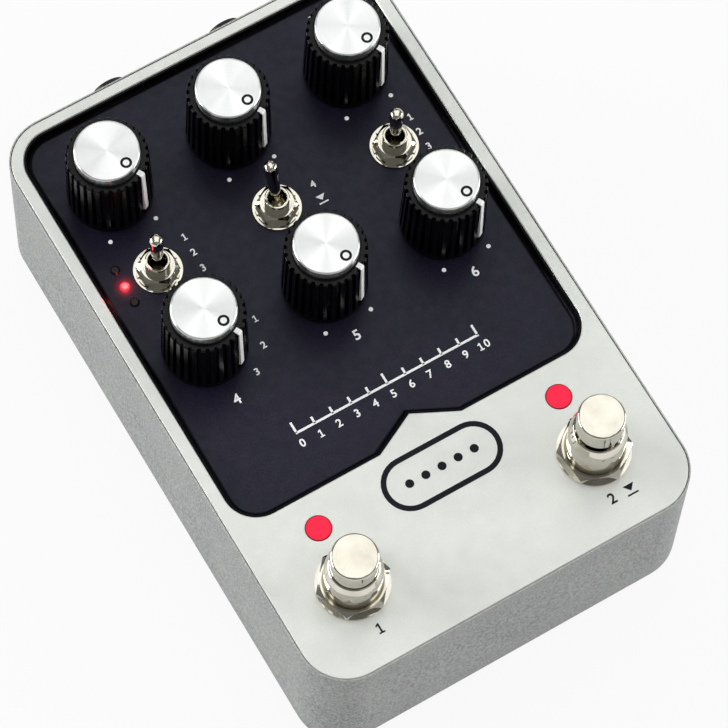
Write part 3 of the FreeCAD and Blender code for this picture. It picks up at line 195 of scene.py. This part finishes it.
def cast_case():
    """Blasted die-cast alloy: a fine even grain with paler and darker specks."""
    s = Shader("cast_case", Metallic=0.18)
    grain = s.blend(s.patches(2000, low=0.38, high=0.64), rgb(109, 111, 112), rgb(168, 170, 168))
    cloud = s.math("MULTIPLY", s.patches(70, detail=3.0), 0.3)
    tone = s.blend(cloud, grain, rgb(168, 170, 166))
    # Paler on sharp edges: partly edge wear, partly a painted highlight where the edges catch the light
    edge = s.edge_mask(radius=0.5 * MM, gain=0.25)
    s.main_feed("Base Color", s.blend(edge, tone, rgb(222, 222, 218)))
    s.uneven_roughness(900, smooth=0.42, rough=0.58)
    s.bump(s.noise(1800, detail=3.0), strength=0.6, distance=0.1 * MM)
    return s.material


def top_plate():
    """Pale satin anodised plate with a very fine even grain."""
    s = Shader("plate", Metallic=0.35)
    cloud = s.blend(s.patches(38, detail=3.0), rgb(229, 231, 226), rgb(235, 237, 232))
    grain = s.math("MULTIPLY", s.patches(3500), 0.3)
    tone = s.blend(grain, cloud, rgb(210, 213, 208))
    # Paler on sharp edges: partly edge wear, partly a painted highlight where the edges catch the light
    edge = s.edge_mask(radius=0.25 * MM, gain=0.3)
    s.main_feed("Base Color", s.blend(edge, tone, rgb(246, 246, 243)))
    s.uneven_roughness(300, smooth=0.36, rough=0.48, detail=3.0)
    s.bump(s.noise(3200), strength=0.2, distance=0.03 * MM)
    return s.material


# Between these heights above the face, its lacquer turns near-black and less glossy along its raised edge
EDGE_START, EDGE_FULL = 0.02 * MM, 0.12 * MM
LACQUER_GLOSS, EDGE_GLOSS = 0.31, 0.12
# The lit lamp's red light on the lacquer fades between these distances from the lamp
SPILL_START, SPILL_END = 1.0 * MM, 3.6 * MM
SPILL_FADE = 4.0
SPILL_STRENGTH = 0.34


def face_panel():
    """Blue-black lacquer with faint orange peel and a fine fleck; it turns darker, near-black and less glossy
    along its raised edge.

    Red light from the lit status lamp spills over the lacquer round it.
    """
    s = Shader("face", Specular_Tint=(0.85, 0.85, 1.0, 1.0))
    cloud = s.blend(s.patches(45), rgb(13, 12, 27), rgb(18, 16, 34))
    lacquer = s.blend(s.patches(2600, low=0.4, high=0.72), cloud, rgb(28, 26, 45))
    edge = s.spread(s.upward(s.places["Object"]), FACE_TOP + EDGE_START, FACE_TOP + EDGE_FULL)
    s.main_feed("Base Color", s.blend(edge, lacquer, rgb(5, 5, 7)))
    s.main_feed("Specular IOR Level", s.spread(edge, 0.0, 1.0, LACQUER_GLOSS, EDGE_GLOSS))
    s.uneven_roughness(500, smooth=0.30, rough=0.40)
    s.bump(s.noise(1100), strength=0.12, distance=0.05 * MM)
    reach = s.vector("DISTANCE", s.places["Object"], (*STATUS_SPOT, FACE_TOP))["Value"]
    spill = s.math("POWER", s.spread(reach, SPILL_START, SPILL_END, 1.0, 0.0), SPILL_FADE)
    s.main_feed("Emission Color", rgb(255, 12, 44))
    s.main_feed("Emission Strength", s.math("MULTIPLY", spill, SPILL_STRENGTH))
    return s.material


def base_plate():
    """Dark powder coat on steel, with its small wrinkles."""
    s = Shader("base", Roughness=0.55)
    s.main_feed("Base Color", s.blend(s.patches(120, detail=3.0), rgb(46, 46, 48), rgb(58, 58, 60)))
    s.bump(s.noise(1400, detail=3.0), strength=0.5, distance=0.1 * MM)
    return s.material


def knob_plastic():
    """Glossy black moulded plastic, a little duller where fingers hold it."""
    s = Shader("knob", Specular_IOR_Level=0.2)
    touch = s.patches(160, detail=3.0)
    s.main_feed("Base Color", s.blend(touch, rgb(4, 4, 5), rgb(9, 9, 10)))
    s.main_feed("Roughness", s.spread(touch, 0.0, 1.0, 0.16, 0.30))
    s.bump(s.noise(1500), strength=0.08, distance=0.03 * MM)
    return s.material


def spun_cap():
    """Spun aluminium: fine rings round the middle, whose glints fan out in sectors."""
    s = Shader("spun_cap", Metallic=1.0, Anisotropic=0.92, Anisotropic_Rotation=0.25)
    groove = s.add("TexNoise", {"noise_dimensions": "1D"}, W=s.reach(), Scale=90.0, Detail=3.0).outputs["Fac"]
    spun = s.blend(s.spread(groove, NOISE_LOW, NOISE_HIGH), rgb(238, 240, 239), rgb(247, 248, 247))
    flat_part = s.spread(s.upward(s.add("NewGeometry").outputs["Normal"]), 0.3, 0.9)
    s.main_feed("Base Color", s.blend(flat_part, rgb(212, 214, 214), spun))
    s.main_feed("Roughness", s.spread(flat_part, 0.0, 1.0, 0.26, 0.29))
    s.main_feed("Tangent", s.add("Tangent", {"direction_type": "RADIAL", "axis": "Z"}).outputs["Tangent"])
    s.bump(groove, strength=0.04, distance=0.02 * MM)
    return s.material


def white_strip():
    """White plastic with a few duller worn spots."""
    s = Shader("white_strip", Roughness=0.4)
    wear = s.patches(700, detail=3.0, low=0.35)
    s.main_feed("Base Color", s.blend(wear, rgb(252, 252, 251), rgb(246, 246, 244)))
    s.bump(s.noise(2400), strength=0.1, distance=0.02 * MM)
    return s.material


def bright_nickel():
    """Warm bright nickel plate with faint smears and hairline scratches."""
    s = Shader("nickel", Metallic=1.0)
    smear = s.patches(240, detail=3.0, high=0.75)
    s.main_feed("Base Color", s.blend(smear, rgb(223, 220, 207), rgb(203, 198, 183)))
    s.main_feed("Roughness", s.spread(smear, 0.0, 1.0, 0.04, 0.12))
    s.bump(s.hairlines((4000, 4000, 300)), strength=0.05, distance=0.02 * MM)
    return s.material


def red_lens():
    """Lit red lens: brightest over the lamp in its middle, deeper at its rim, with a dark line round it
    painted as the shadow of the gap round the lens.
    """
    s = Shader("red_lens", Roughness=0.18, Specular_IOR_Level=0.2, Emission_Strength=0.7)
    reach = s.reach()
    # Dark line round the rim, in both colour and glow: painted shadow of the gap round the lens
    line = s.spread(reach, 0.338, 0.35)
    body = s.blend(s.noise(400), rgb(196, 10, 30), rgb(178, 6, 24))
    glow = s.blend(s.spread(reach, 0.26, 0.38), rgb(244, 28, 76), rgb(214, 15, 50))
    s.main_feed("Base Color", s.blend(line, body, rgb(92, 6, 20)))
    s.main_feed("Emission Color", s.blend(line, glow, rgb(96, 4, 18)))
    return s.material


def status_lit():
    """A small lamp that is on: nearly white in its middle."""
    s = Shader("status_lit", Roughness=0.2, Emission_Strength=1.6)
    rim = s.spread(s.reach(), 0.1, 0.5)
    s.main_feed("Base Color", s.blend(rim, rgb(255, 80, 80), rgb(200, 20, 30)))
    s.main_feed("Emission Color", s.blend(rim, rgb(255, 104, 108), rgb(255, 26, 40)))
    return s.material


def clear_lens():
    """A small lamp that is off: smoky clear plastic."""
    s = Shader("clear_lens", Roughness=0.15, Specular_IOR_Level=0.2)
    s.main_feed("Base Color", s.blend(s.noise(600), rgb(18, 14, 17), rgb(28, 22, 26)))
    return s.material


def rubber():
    """Dull black moulded rubber."""
    s = Shader("rubber", Roughness=0.75, Specular_IOR_Level=0.3)
    s.main_feed("Base Color", s.blend(s.noise(300, detail=3.0), rgb(24, 24, 25), rgb(36, 36, 37)))
    s.bump(s.noise(1800, detail=3.0), strength=0.35, distance=0.06 * MM)
    return s.material


def black_plastic():
    """Black moulded housing plastic with a fine spark texture."""
    s = Shader("black_plastic")
    s.main_feed("Base Color", s.blend(s.noise(250), rgb(20, 20, 21), rgb(31, 31, 33)))
    s.uneven_roughness(900, smooth=0.34, rough=0.5)
    s.bump(s.noise(2600), strength=0.2, distance=0.03 * MM)
    return s.material


def jack_plastic():
    """The sockets' black plastic, with a moulded thread round the necks."""
    s = Shader("jack_plastic", Roughness=0.36)
    s.main_feed("Base Color", s.blend(s.noise(250), rgb(17, 17, 18), rgb(28, 28, 30)))
    bands = {"wave_type": "BANDS", "bands_direction": "Y"}
    thread = s.add("TexWave", bands, Vector=s.places["Object"], Scale=420.0).outputs["Fac"]
    s.bump(thread, strength=0.6, distance=0.25 * MM)
    return s.material


def circuit_board():
    """Green solder mask with the paler paths of the copper beneath."""
    s = Shader("circuit_board", Roughness=0.35)
    paths = s.add("TexBrick", Vector=s.places["Object"], Scale=260.0, Mortar_Size=0.03).outputs["Fac"]
    s.main_feed("Base Color", s.blend(paths, rgb(18, 74, 40), rgb(58, 118, 70)))
    s.bump(paths, strength=0.3, distance=0.05 * MM)
    return s.material


def plain_metal(name, dark, light, rough):
    """A turned or drawn metal with fine lines round it."""
    s = Shader(name, Metallic=1.0)
    s.main_feed("Base Color", s.blend(s.noise(500, detail=3.0), dark, light))
    s.uneven_roughness(700, smooth=rough - 0.06, rough=rough + 0.08)
    s.bump(s.hairlines((400, 400, 6000)), strength=0.15, distance=0.02 * MM)
    return s.material


def ink(name, dark, light):
    """Screen-printed ink, very slightly raised and uneven."""
    s = Shader(name, Roughness=0.5, Specular_IOR_Level=0.2)
    s.main_feed("Base Color", s.blend(s.noise(900, detail=3.0), dark, light))
    s.bump(s.noise(4000), strength=0.1, distance=0.01 * MM)
    return s.material


SLOT_MATERIALS = {
    "cast_case": cast_case(),
    "plate": top_plate(),
    "face": face_panel(),
    "base": base_plate(),
    "screws": plain_metal("screws", rgb(96, 96, 98), rgb(122, 122, 124), 0.36),
    "rubber": rubber(),
    "knob": knob_plastic(),
    "spun_cap": spun_cap(),
    "white_strip": white_strip(),
    "shaft": plain_metal("shaft", rgb(180, 180, 180), rgb(205, 205, 203), 0.3),
    "pot_body": plain_metal("pot_body", rgb(165, 166, 168), rgb(190, 191, 192), 0.34),
    "nickel": bright_nickel(),
    "red_lens": red_lens(),
    "clear_lens": clear_lens(),
    "circuit_board": circuit_board(),
    "black_plastic": black_plastic(),
    "brass": plain_metal("brass", rgb(196, 160, 92), rgb(216, 184, 118), 0.28),
    "usb_shell": plain_metal("usb_shell", rgb(176, 177, 178), rgb(202, 203, 204), 0.26),
}
NODE_MATERIALS = {"audio_jacks": jack_plastic(), "status_light_lit": status_lit()}
WHITE_INK = ink("white_ink", rgb(250, 250, 250), rgb(254, 254, 254))
DARK_INK = ink("dark_ink", rgb(12, 12, 22), rgb(20, 20, 32))


def dress_nodes():
    """Give each CAD node its own material, or else that of its slot."""
    for part in frame["record"]["subparts"]:
        node = frame["nodes"][part["node"]]
        material = NODE_MATERIALS.get(part["node"], SLOT_MATERIALS[part["material_slot"]])
        node.data.materials.clear()
        node.data.materials.append(material)


# Printed marks

PRINT_THICK = 0.03 * MM
PRINT_SUNK = 0.01 * MM

# Outline of the figure 1 with a flag and a foot, in shares of its size
ONE_OUTLINE = (
    (-0.19, -0.35), (0.21, -0.35), (0.21, -0.25), (0.07, -0.25), (0.07, 0.35), (-0.04, 0.35),
    (-0.21, 0.22), (-0.15, 0.14), (-0.05, 0.21), (-0.05, -0.25), (-0.19, -0.25),
)
FIGURE_PITCH = 0.62
FIGURE_WEIGHT = 0.02

# A hold mark, in the size of 1: a triangle that points to a short line
HOLD_HALF = 0.95 * MM
HOLD_TALL = 1.1 * MM
HOLD_GAP = 0.55 * MM
HOLD_LINE = 0.28 * MM

# Corners closer together than this are joined
SAME_PLACE = 1e-7


def circle(x, y, radius, sides):
    turn = 2 * math.pi / sides
    return [(x + radius * math.cos(turn * i), y + radius * math.sin(turn * i)) for i in range(sides)]


def stadium(x, y, half_width, half_depth, sides=16):
    """Outline of a bar with round ends, each of this many sides."""
    straight = half_width - half_depth
    points = []
    for centre, start in ((straight, -90), (-straight, 90)):
        for i in range(sides + 1):
            turn = math.radians(start + 180 * i / sides)
            points.append((x + centre + half_depth * math.cos(turn), y + half_depth * math.sin(turn)))
    return points


def around(spot, reach, degrees):
    """The place this far from a spot, in this direction."""
    turn = math.radians(degrees)
    return (spot[0] + reach * math.cos(turn), spot[1] + reach * math.sin(turn))


class Marks:
    """Thin printed shapes on one level surface, joined into one piece."""

    def __init__(self, level):
        self.mesh = bmesh.new()
        self.bottom = level - PRINT_SUNK
        self.top = level + PRINT_THICK

    def corners(self, outline, height):
        return [self.mesh.verts.new((x, y, height)) for x, y in outline]

    def add_shape(self, outline):
        """Add a filled outline, given anticlockwise seen from above."""
        low = self.corners(outline, self.bottom)
        high = self.corners(outline, self.top)
        self.mesh.faces.new(high)
        self.mesh.faces.new(list(reversed(low)))
        for i in range(len(outline)):
            j = (i + 1) % len(outline)
            self.mesh.faces.new((low[i], low[j], high[j], high[i]))

    def add_band(self, inner, outer):
        """Add a flat band between two outlines with the same number of corners."""
        rings = [
            self.corners(inner, self.bottom), self.corners(outer, self.bottom),
            self.corners(outer, self.top), self.corners(inner, self.top),
        ]
        for i in range(len(inner)):
            j = (i + 1) % len(inner)
            for a, b in ((0, 1), (1, 2), (2, 3), (3, 0)):
                self.mesh.faces.new((rings[a][i], rings[a][j], rings[b][j], rings[b][i]))

    def add_dot(self, x, y, radius):
        self.add_shape(circle(x, y, radius, sides=28))

    def add_bar(self, x, y, width, depth):
        left, right = x - width / 2, x + width / 2
        front, back = y - depth / 2, y + depth / 2
        self.add_shape([(left, front), (right, front), (right, back), (left, back)])

    def add_hold_mark(self, x, y, size):
        half = HOLD_HALF * size
        tip = y - HOLD_TALL * size
        self.add_shape([(x - half, y), (x, tip), (x + half, y)])
        self.add_bar(x, tip - HOLD_GAP * size, 2 * half, HOLD_LINE * size)

    def add_number(self, text, x, y, size):
        """Add a plain number about this middle, upright when read from the front."""
        pitch = FIGURE_PITCH * size
        start = x - pitch * (len(text) - 1) / 2
        for i, figure in enumerate(text):
            figure_x = start + pitch * i
            if figure == "1":
                self.add_shape([(figure_x + u * size, y + v * size) for u, v in ONE_OUTLINE])
            else:
                self.add_figure(figure, figure_x, y, size)

    def add_figure(self, figure, x, y, size):
        """Add one figure of Blender's own typeface."""
        curve = bpy.data.curves.new("number", "FONT")
        curve.body = figure
        curve.offset = FIGURE_WEIGHT * size
        curve.size = size
        curve.align_x = "CENTER"
        curve.align_y = "CENTER"
        curve.extrude = (self.top - self.bottom) / 2
        curve.resolution_u = 4
        holder = bpy.data.objects.new("number", curve)
        flat = bpy.data.meshes.new_from_object(holder)
        flat.transform(Matrix.Translation((x, y, (self.bottom + self.top) / 2)))
        self.mesh.from_mesh(flat)
        bpy.data.objects.remove(holder)
        bpy.data.curves.remove(curve)
        bpy.data.meshes.remove(flat)

    def finish(self, name, material, body):
        """Make the shapes one piece that rides on a body."""
        bmesh.ops.remove_doubles(self.mesh, verts=self.mesh.verts, dist=SAME_PLACE)
        bmesh.ops.recalc_face_normals(self.mesh, faces=self.mesh.faces)
        data = bpy.data.meshes.new(name)
        self.mesh.to_mesh(data)
        self.mesh.free()
        data.materials.append(material)
        piece = bpy.data.objects.new(name, data)
        bpy.context.scene.collection.objects.link(piece)
        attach(piece, body)


# White marks on the face. A knob's number stands behind it in the rear row, and before it in the front row
KNOB_NUMBER_SIZE = 3.2 * MM
KNOB_NUMBER_REACH = {"rear": 13.7 * MM, "front": -13.6 * MM}
# Dots at the two ends of a knob's turn
DOT_RING = 11.4 * MM
DOT_RADIUS = 0.48 * MM
DOT_ANGLES = (-118.9, -61.1)
# The stepped knob has numbers for its steps instead
STEPPED_KNOB = "front_left"
STEP_RING = 12.3 * MM
STEP_NUMBER_SIZE = 2.2 * MM
STEP_ANGLES = {"1": 1.5, "2": -28.0, "3": -57.0}
# Numbers by the toggles, with each one's place from the middle of its toggle
TOGGLE_NUMBER_SIZE = 2.3 * MM
TOGGLE_NUMBERS = {
    "left": {"1": (8.6 * MM, 4.0 * MM), "2": (8.6 * MM, -0.1 * MM), "3": (8.6 * MM, -4.2 * MM)},
    "middle": {"4": (9.4 * MM, 0.9 * MM)},
    "right": {"1": (6.5 * MM, 4.3 * MM), "2": (6.5 * MM, 0.3 * MM), "3": (6.5 * MM, -3.7 * MM)},
}
TOGGLE_HOLD_SPOT = (9.4 * MM, -1.9 * MM)
TOGGLE_HOLD_SIZE = 1.15
# A ruled scale in front of the front knobs
SCALE_AHEAD = 26.2 * MM
SCALE_STEPS = 10
SCALE_PITCH = 4.4 * MM
SCALE_LINE = 0.52 * MM
TICK_WIDTH = 0.5 * MM
TICK_SHORT = 1.6 * MM
TICK_LONG = 2.6 * MM
TICK_LONG_EVERY = 5
SCALE_NUMBER_SIZE = 2.5 * MM
SCALE_NUMBER_DROP = 2.6 * MM


def print_face():
    """White marks on the sunken face: dial dots, plain numbers and a plain scale."""
    marks = Marks(FACE_TOP)
    for number, (spot, (x, y)) in enumerate(KNOBS.items(), start=1):
        if spot == STEPPED_KNOB:
            for text, angle in STEP_ANGLES.items():
                marks.add_number(text, *around((x, y), STEP_RING, angle), STEP_NUMBER_SIZE)
        else:
            for angle in DOT_ANGLES:
                marks.add_dot(*around((x, y), DOT_RING, angle), DOT_RADIUS)
        row = spot.split("_")[0]
        marks.add_number(str(number), x, y + KNOB_NUMBER_REACH[row], KNOB_NUMBER_SIZE)
    for side, numbers in TOGGLE_NUMBERS.items():
        x, y = TOGGLES[side]
        for text, (right, back) in numbers.items():
            marks.add_number(text, x + right, y + back, TOGGLE_NUMBER_SIZE)
    x, y = TOGGLES["middle"]
    marks.add_hold_mark(x + TOGGLE_HOLD_SPOT[0], y + TOGGLE_HOLD_SPOT[1], TOGGLE_HOLD_SIZE)
    add_scale(marks)
    marks.finish("face_print", WHITE_INK, "pedal")


def add_scale(marks):
    """A plain ruled scale from 0 to 10 across the open part of the face."""
    middle_x, y = KNOBS["front_middle"]
    y -= SCALE_AHEAD
    marks.add_bar(middle_x, y, SCALE_STEPS * SCALE_PITCH + TICK_WIDTH, SCALE_LINE)
    for i in range(SCALE_STEPS + 1):
        x = middle_x + (i - SCALE_STEPS / 2) * SCALE_PITCH
        tall = TICK_SHORT if i % TICK_LONG_EVERY else TICK_LONG
        marks.add_bar(x, y + tall / 2, TICK_WIDTH, tall)
        marks.add_number(str(i), x, y - SCALE_NUMBER_DROP, SCALE_NUMBER_SIZE)


# Dark marks on the plate: a badge outline with dots in it, behind the row of foot switches
BADGE_BEHIND = 12.9 * MM
BADGE_HALF_WIDTH = 13.8 * MM
BADGE_HALF_DEPTH = 6.1 * MM
BADGE_STROKE = 1.2 * MM
BADGE_DOTS = 5
BADGE_DOT_PITCH = 3.9 * MM
BADGE_DOT_RADIUS = 0.95 * MM
# The foot switches' numbers, in front of them; the right one is moved aside for a hold mark
FOOT_NUMBER_AHEAD = 10.9 * MM
FOOT_NUMBER_SIZE = 3.3 * MM
FOOT_NUMBER_ASIDE = 2.2 * MM
FOOT_HOLD_RISE = 1.1 * MM
FOOT_HOLD_SIZE = 1.35


def print_plate():
    """Dark marks on the top plate: a plain long badge outline and plain numbers by the foot switches."""
    marks = Marks(PLATE_TOP)
    left_x, row_y = FOOT_SWITCHES["left"]
    right_x = FOOT_SWITCHES["right"][0]
    badge_x = (left_x + right_x) / 2
    badge_y = row_y + BADGE_BEHIND
    inner = stadium(badge_x, badge_y, BADGE_HALF_WIDTH - BADGE_STROKE, BADGE_HALF_DEPTH - BADGE_STROKE)
    marks.add_band(inner, stadium(badge_x, badge_y, BADGE_HALF_WIDTH, BADGE_HALF_DEPTH))
    for i in range(BADGE_DOTS):
        marks.add_dot(badge_x + (i - BADGE_DOTS // 2) * BADGE_DOT_PITCH, badge_y, BADGE_DOT_RADIUS)
    number_y = row_y - FOOT_NUMBER_AHEAD
    marks.add_number("1", left_x, number_y, FOOT_NUMBER_SIZE)
    marks.add_number("2", right_x - FOOT_NUMBER_ASIDE, number_y, FOOT_NUMBER_SIZE)
    marks.add_hold_mark(right_x + FOOT_NUMBER_ASIDE, number_y + FOOT_HOLD_RISE, FOOT_HOLD_SIZE)
    marks.finish("plate_print", DARK_INK, "pedal")


# A small ring on each cap
RING_REACH = 4.9 * MM
RING_ANGLE = -64.0
RING_OUTER = 1.25 * MM
RING_STROKE = 0.55 * MM
RING_SIDES = 36


def print_caps():
    """A small black ring on each knob's cap, near its white pointer."""
    for spot, knob in KNOBS.items():
        marks = Marks(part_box("knob_cap_" + spot)[1][2])
        x, y = around(knob, RING_REACH, RING_ANGLE)
        inner = circle(x, y, RING_OUTER - RING_STROKE, RING_SIDES)
        marks.add_band(inner, circle(x, y, RING_OUTER, RING_SIDES))
        marks.finish("cap_ring_" + spot, DARK_INK, "turning_" + spot)


# Floor, light and camera

FLOOR_HALF = 4.0
FLOOR_GLOW = 0.91
WORLD_LIGHT = 0.47
# In reflections the backdrop is less bright, and it darkens overhead, like a studio's ceiling. It darkens
# between these two heights, given as the upward part of a direction
DARK_START, DARK_FULL = 0.02, 0.3
BACKDROP_LEVEL, DARK_LEVEL = 0.8, 0.176


def white_floor():
    """A white floor that shows as white to the camera and to reflections, with a soft shadow."""
    corners = [(x * FLOOR_HALF, y * FLOOR_HALF, 0) for x, y in ((-1, -1), (1, -1), (1, 1), (-1, 1))]
    data = bpy.data.meshes.new("floor")
    data.from_pydata(corners, [], [(0, 1, 2, 3)])
    floor = bpy.data.objects.new("floor", data)
    bpy.context.scene.collection.objects.link(floor)
    s = Shader("floor", Base_Color=rgb(218, 218, 218), Roughness=0.9)
    glow = s.add("Emission", Color=WHITE, Strength=1.0)
    amount = s.math("MULTIPLY", s.backdrop_seen(), FLOOR_GLOW)
    shown = s.mix_shaders(amount, s.main.outputs[0], glow.outputs[0])
    s.feed(s.tree.nodes["Material Output"], "Surface", shown)
    data.materials.append(s.material)


def white_world():
    """Even white light, and a white backdrop that reflections see darkened overhead."""
    world = bpy.data.worlds.new("studio")
    bpy.context.scene.world = world
    world.use_nodes = True
    w = Nodes(world.node_tree)
    light = w.tree.nodes["Background"]
    w.feed(light, "Color", WHITE)
    w.feed(light, "Strength", WORLD_LIGHT)
    ceiling = w.add(
        "MapRange", {"interpolation_type": "SMOOTHSTEP"},
        Value=w.upward(w.add("TexCoord").outputs["Generated"]),
        From_Min=DARK_START, From_Max=DARK_FULL, To_Min=BACKDROP_LEVEL, To_Max=DARK_LEVEL)
    glossy = w.add("LightPath").outputs["Is Glossy Ray"]
    level = w.add("Mix", Factor=glossy, A=1.0, B=ceiling.outputs["Result"])
    backdrop = w.add("Background", Color=WHITE, Strength=level.outputs["Result"])
    shown = w.mix_shaders(w.backdrop_seen(), light.outputs[0], backdrop.outputs[0])
    w.feed(w.tree.nodes["World Output"], "Surface", shown)


def soft_box(name, spot, width, height, power, twist=0.0):
    """A rectangular lamp that faces the pedal, turned about its own middle by the twist in degrees."""
    data = bpy.data.lights.new(name, "AREA")
    data.shape = "RECTANGLE"
    data.size = width
    data.size_y = height
    data.energy = power
    lamp = bpy.data.objects.new(name, data)
    lamp.location = spot
    aim = (-Vector(spot)).to_track_quat("-Z", "Y")
    lamp.rotation_euler = (aim @ Quaternion((0, 0, 1), math.radians(twist))).to_euler()
    bpy.context.scene.collection.objects.link(lamp)


# Two long lamps that cross overhead; the spun caps show them as four bright fans
OVERHEAD = (0.25, 0.38, 1.25)
OVERHEAD_LONG, OVERHEAD_SHORT = 1.6, 0.35
OVERHEAD_POWER = 2.2
# A small red lamp that hangs over the lit status light
STATUS_GLOW_RISE = 1.4 * MM
STATUS_GLOW_RADIUS = 0.6 * MM
STATUS_GLOW_POWER = 0.0006


def light_studio():
    soft_box("overhead_long", OVERHEAD, OVERHEAD_LONG, OVERHEAD_SHORT, OVERHEAD_POWER, twist=-58)
    soft_box("overhead_cross", OVERHEAD, OVERHEAD_SHORT, OVERHEAD_LONG, OVERHEAD_POWER, twist=-26)
    soft_box("left_side", spot=(-1.0, 0.76, 0.52), width=1.0, height=0.4, power=13.0)
    soft_box("right_front", spot=(1.22, -0.57, 0.55), width=1.0, height=0.4, power=9.5)
    soft_box("front", spot=(0.25, -1.0, 0.85), width=0.9, height=0.5, power=0.4)
    glow = bpy.data.lights.new("status_glow", "POINT")
    glow.color = (1.0, 0.05, 0.07)
    glow.energy = STATUS_GLOW_POWER
    glow.shadow_soft_size = STATUS_GLOW_RADIUS
    lamp = bpy.data.objects.new("status_glow", glow)
    lamp.location = (*STATUS_SPOT, STATUS_TOP + STATUS_GLOW_RISE)
    bpy.context.scene.collection.objects.link(lamp)


def photo_camera():
    """The photograph's view: from the front left, high above, with a long lens."""
    right = Vector((0.861369, -0.507281, 0.026641))
    up = Vector((0.464369, 0.807594, 0.363528))
    back = Vector((-0.205926, -0.300760, 0.931202))
    place = (-0.169368, -0.258637, 0.800117)
    data = bpy.data.cameras.new("photo_camera")
    data.lens = 191.777
    data.sensor_width = 36.0
    data.clip_start = 0.05
    camera = bpy.data.objects.new("photo_camera", data)
    turned = Matrix((right, up, back)).transposed().to_4x4()
    camera.matrix_world = Matrix.Translation(place) @ turned
    bpy.context.scene.collection.objects.link(camera)
    bpy.context.scene.camera = camera


dress_nodes()
print_face()
print_plate()
print_caps()
white_floor()
white_world()
light_studio()
photo_camera()
bpy.context.scene.view_settings.view_transform = "Standard"
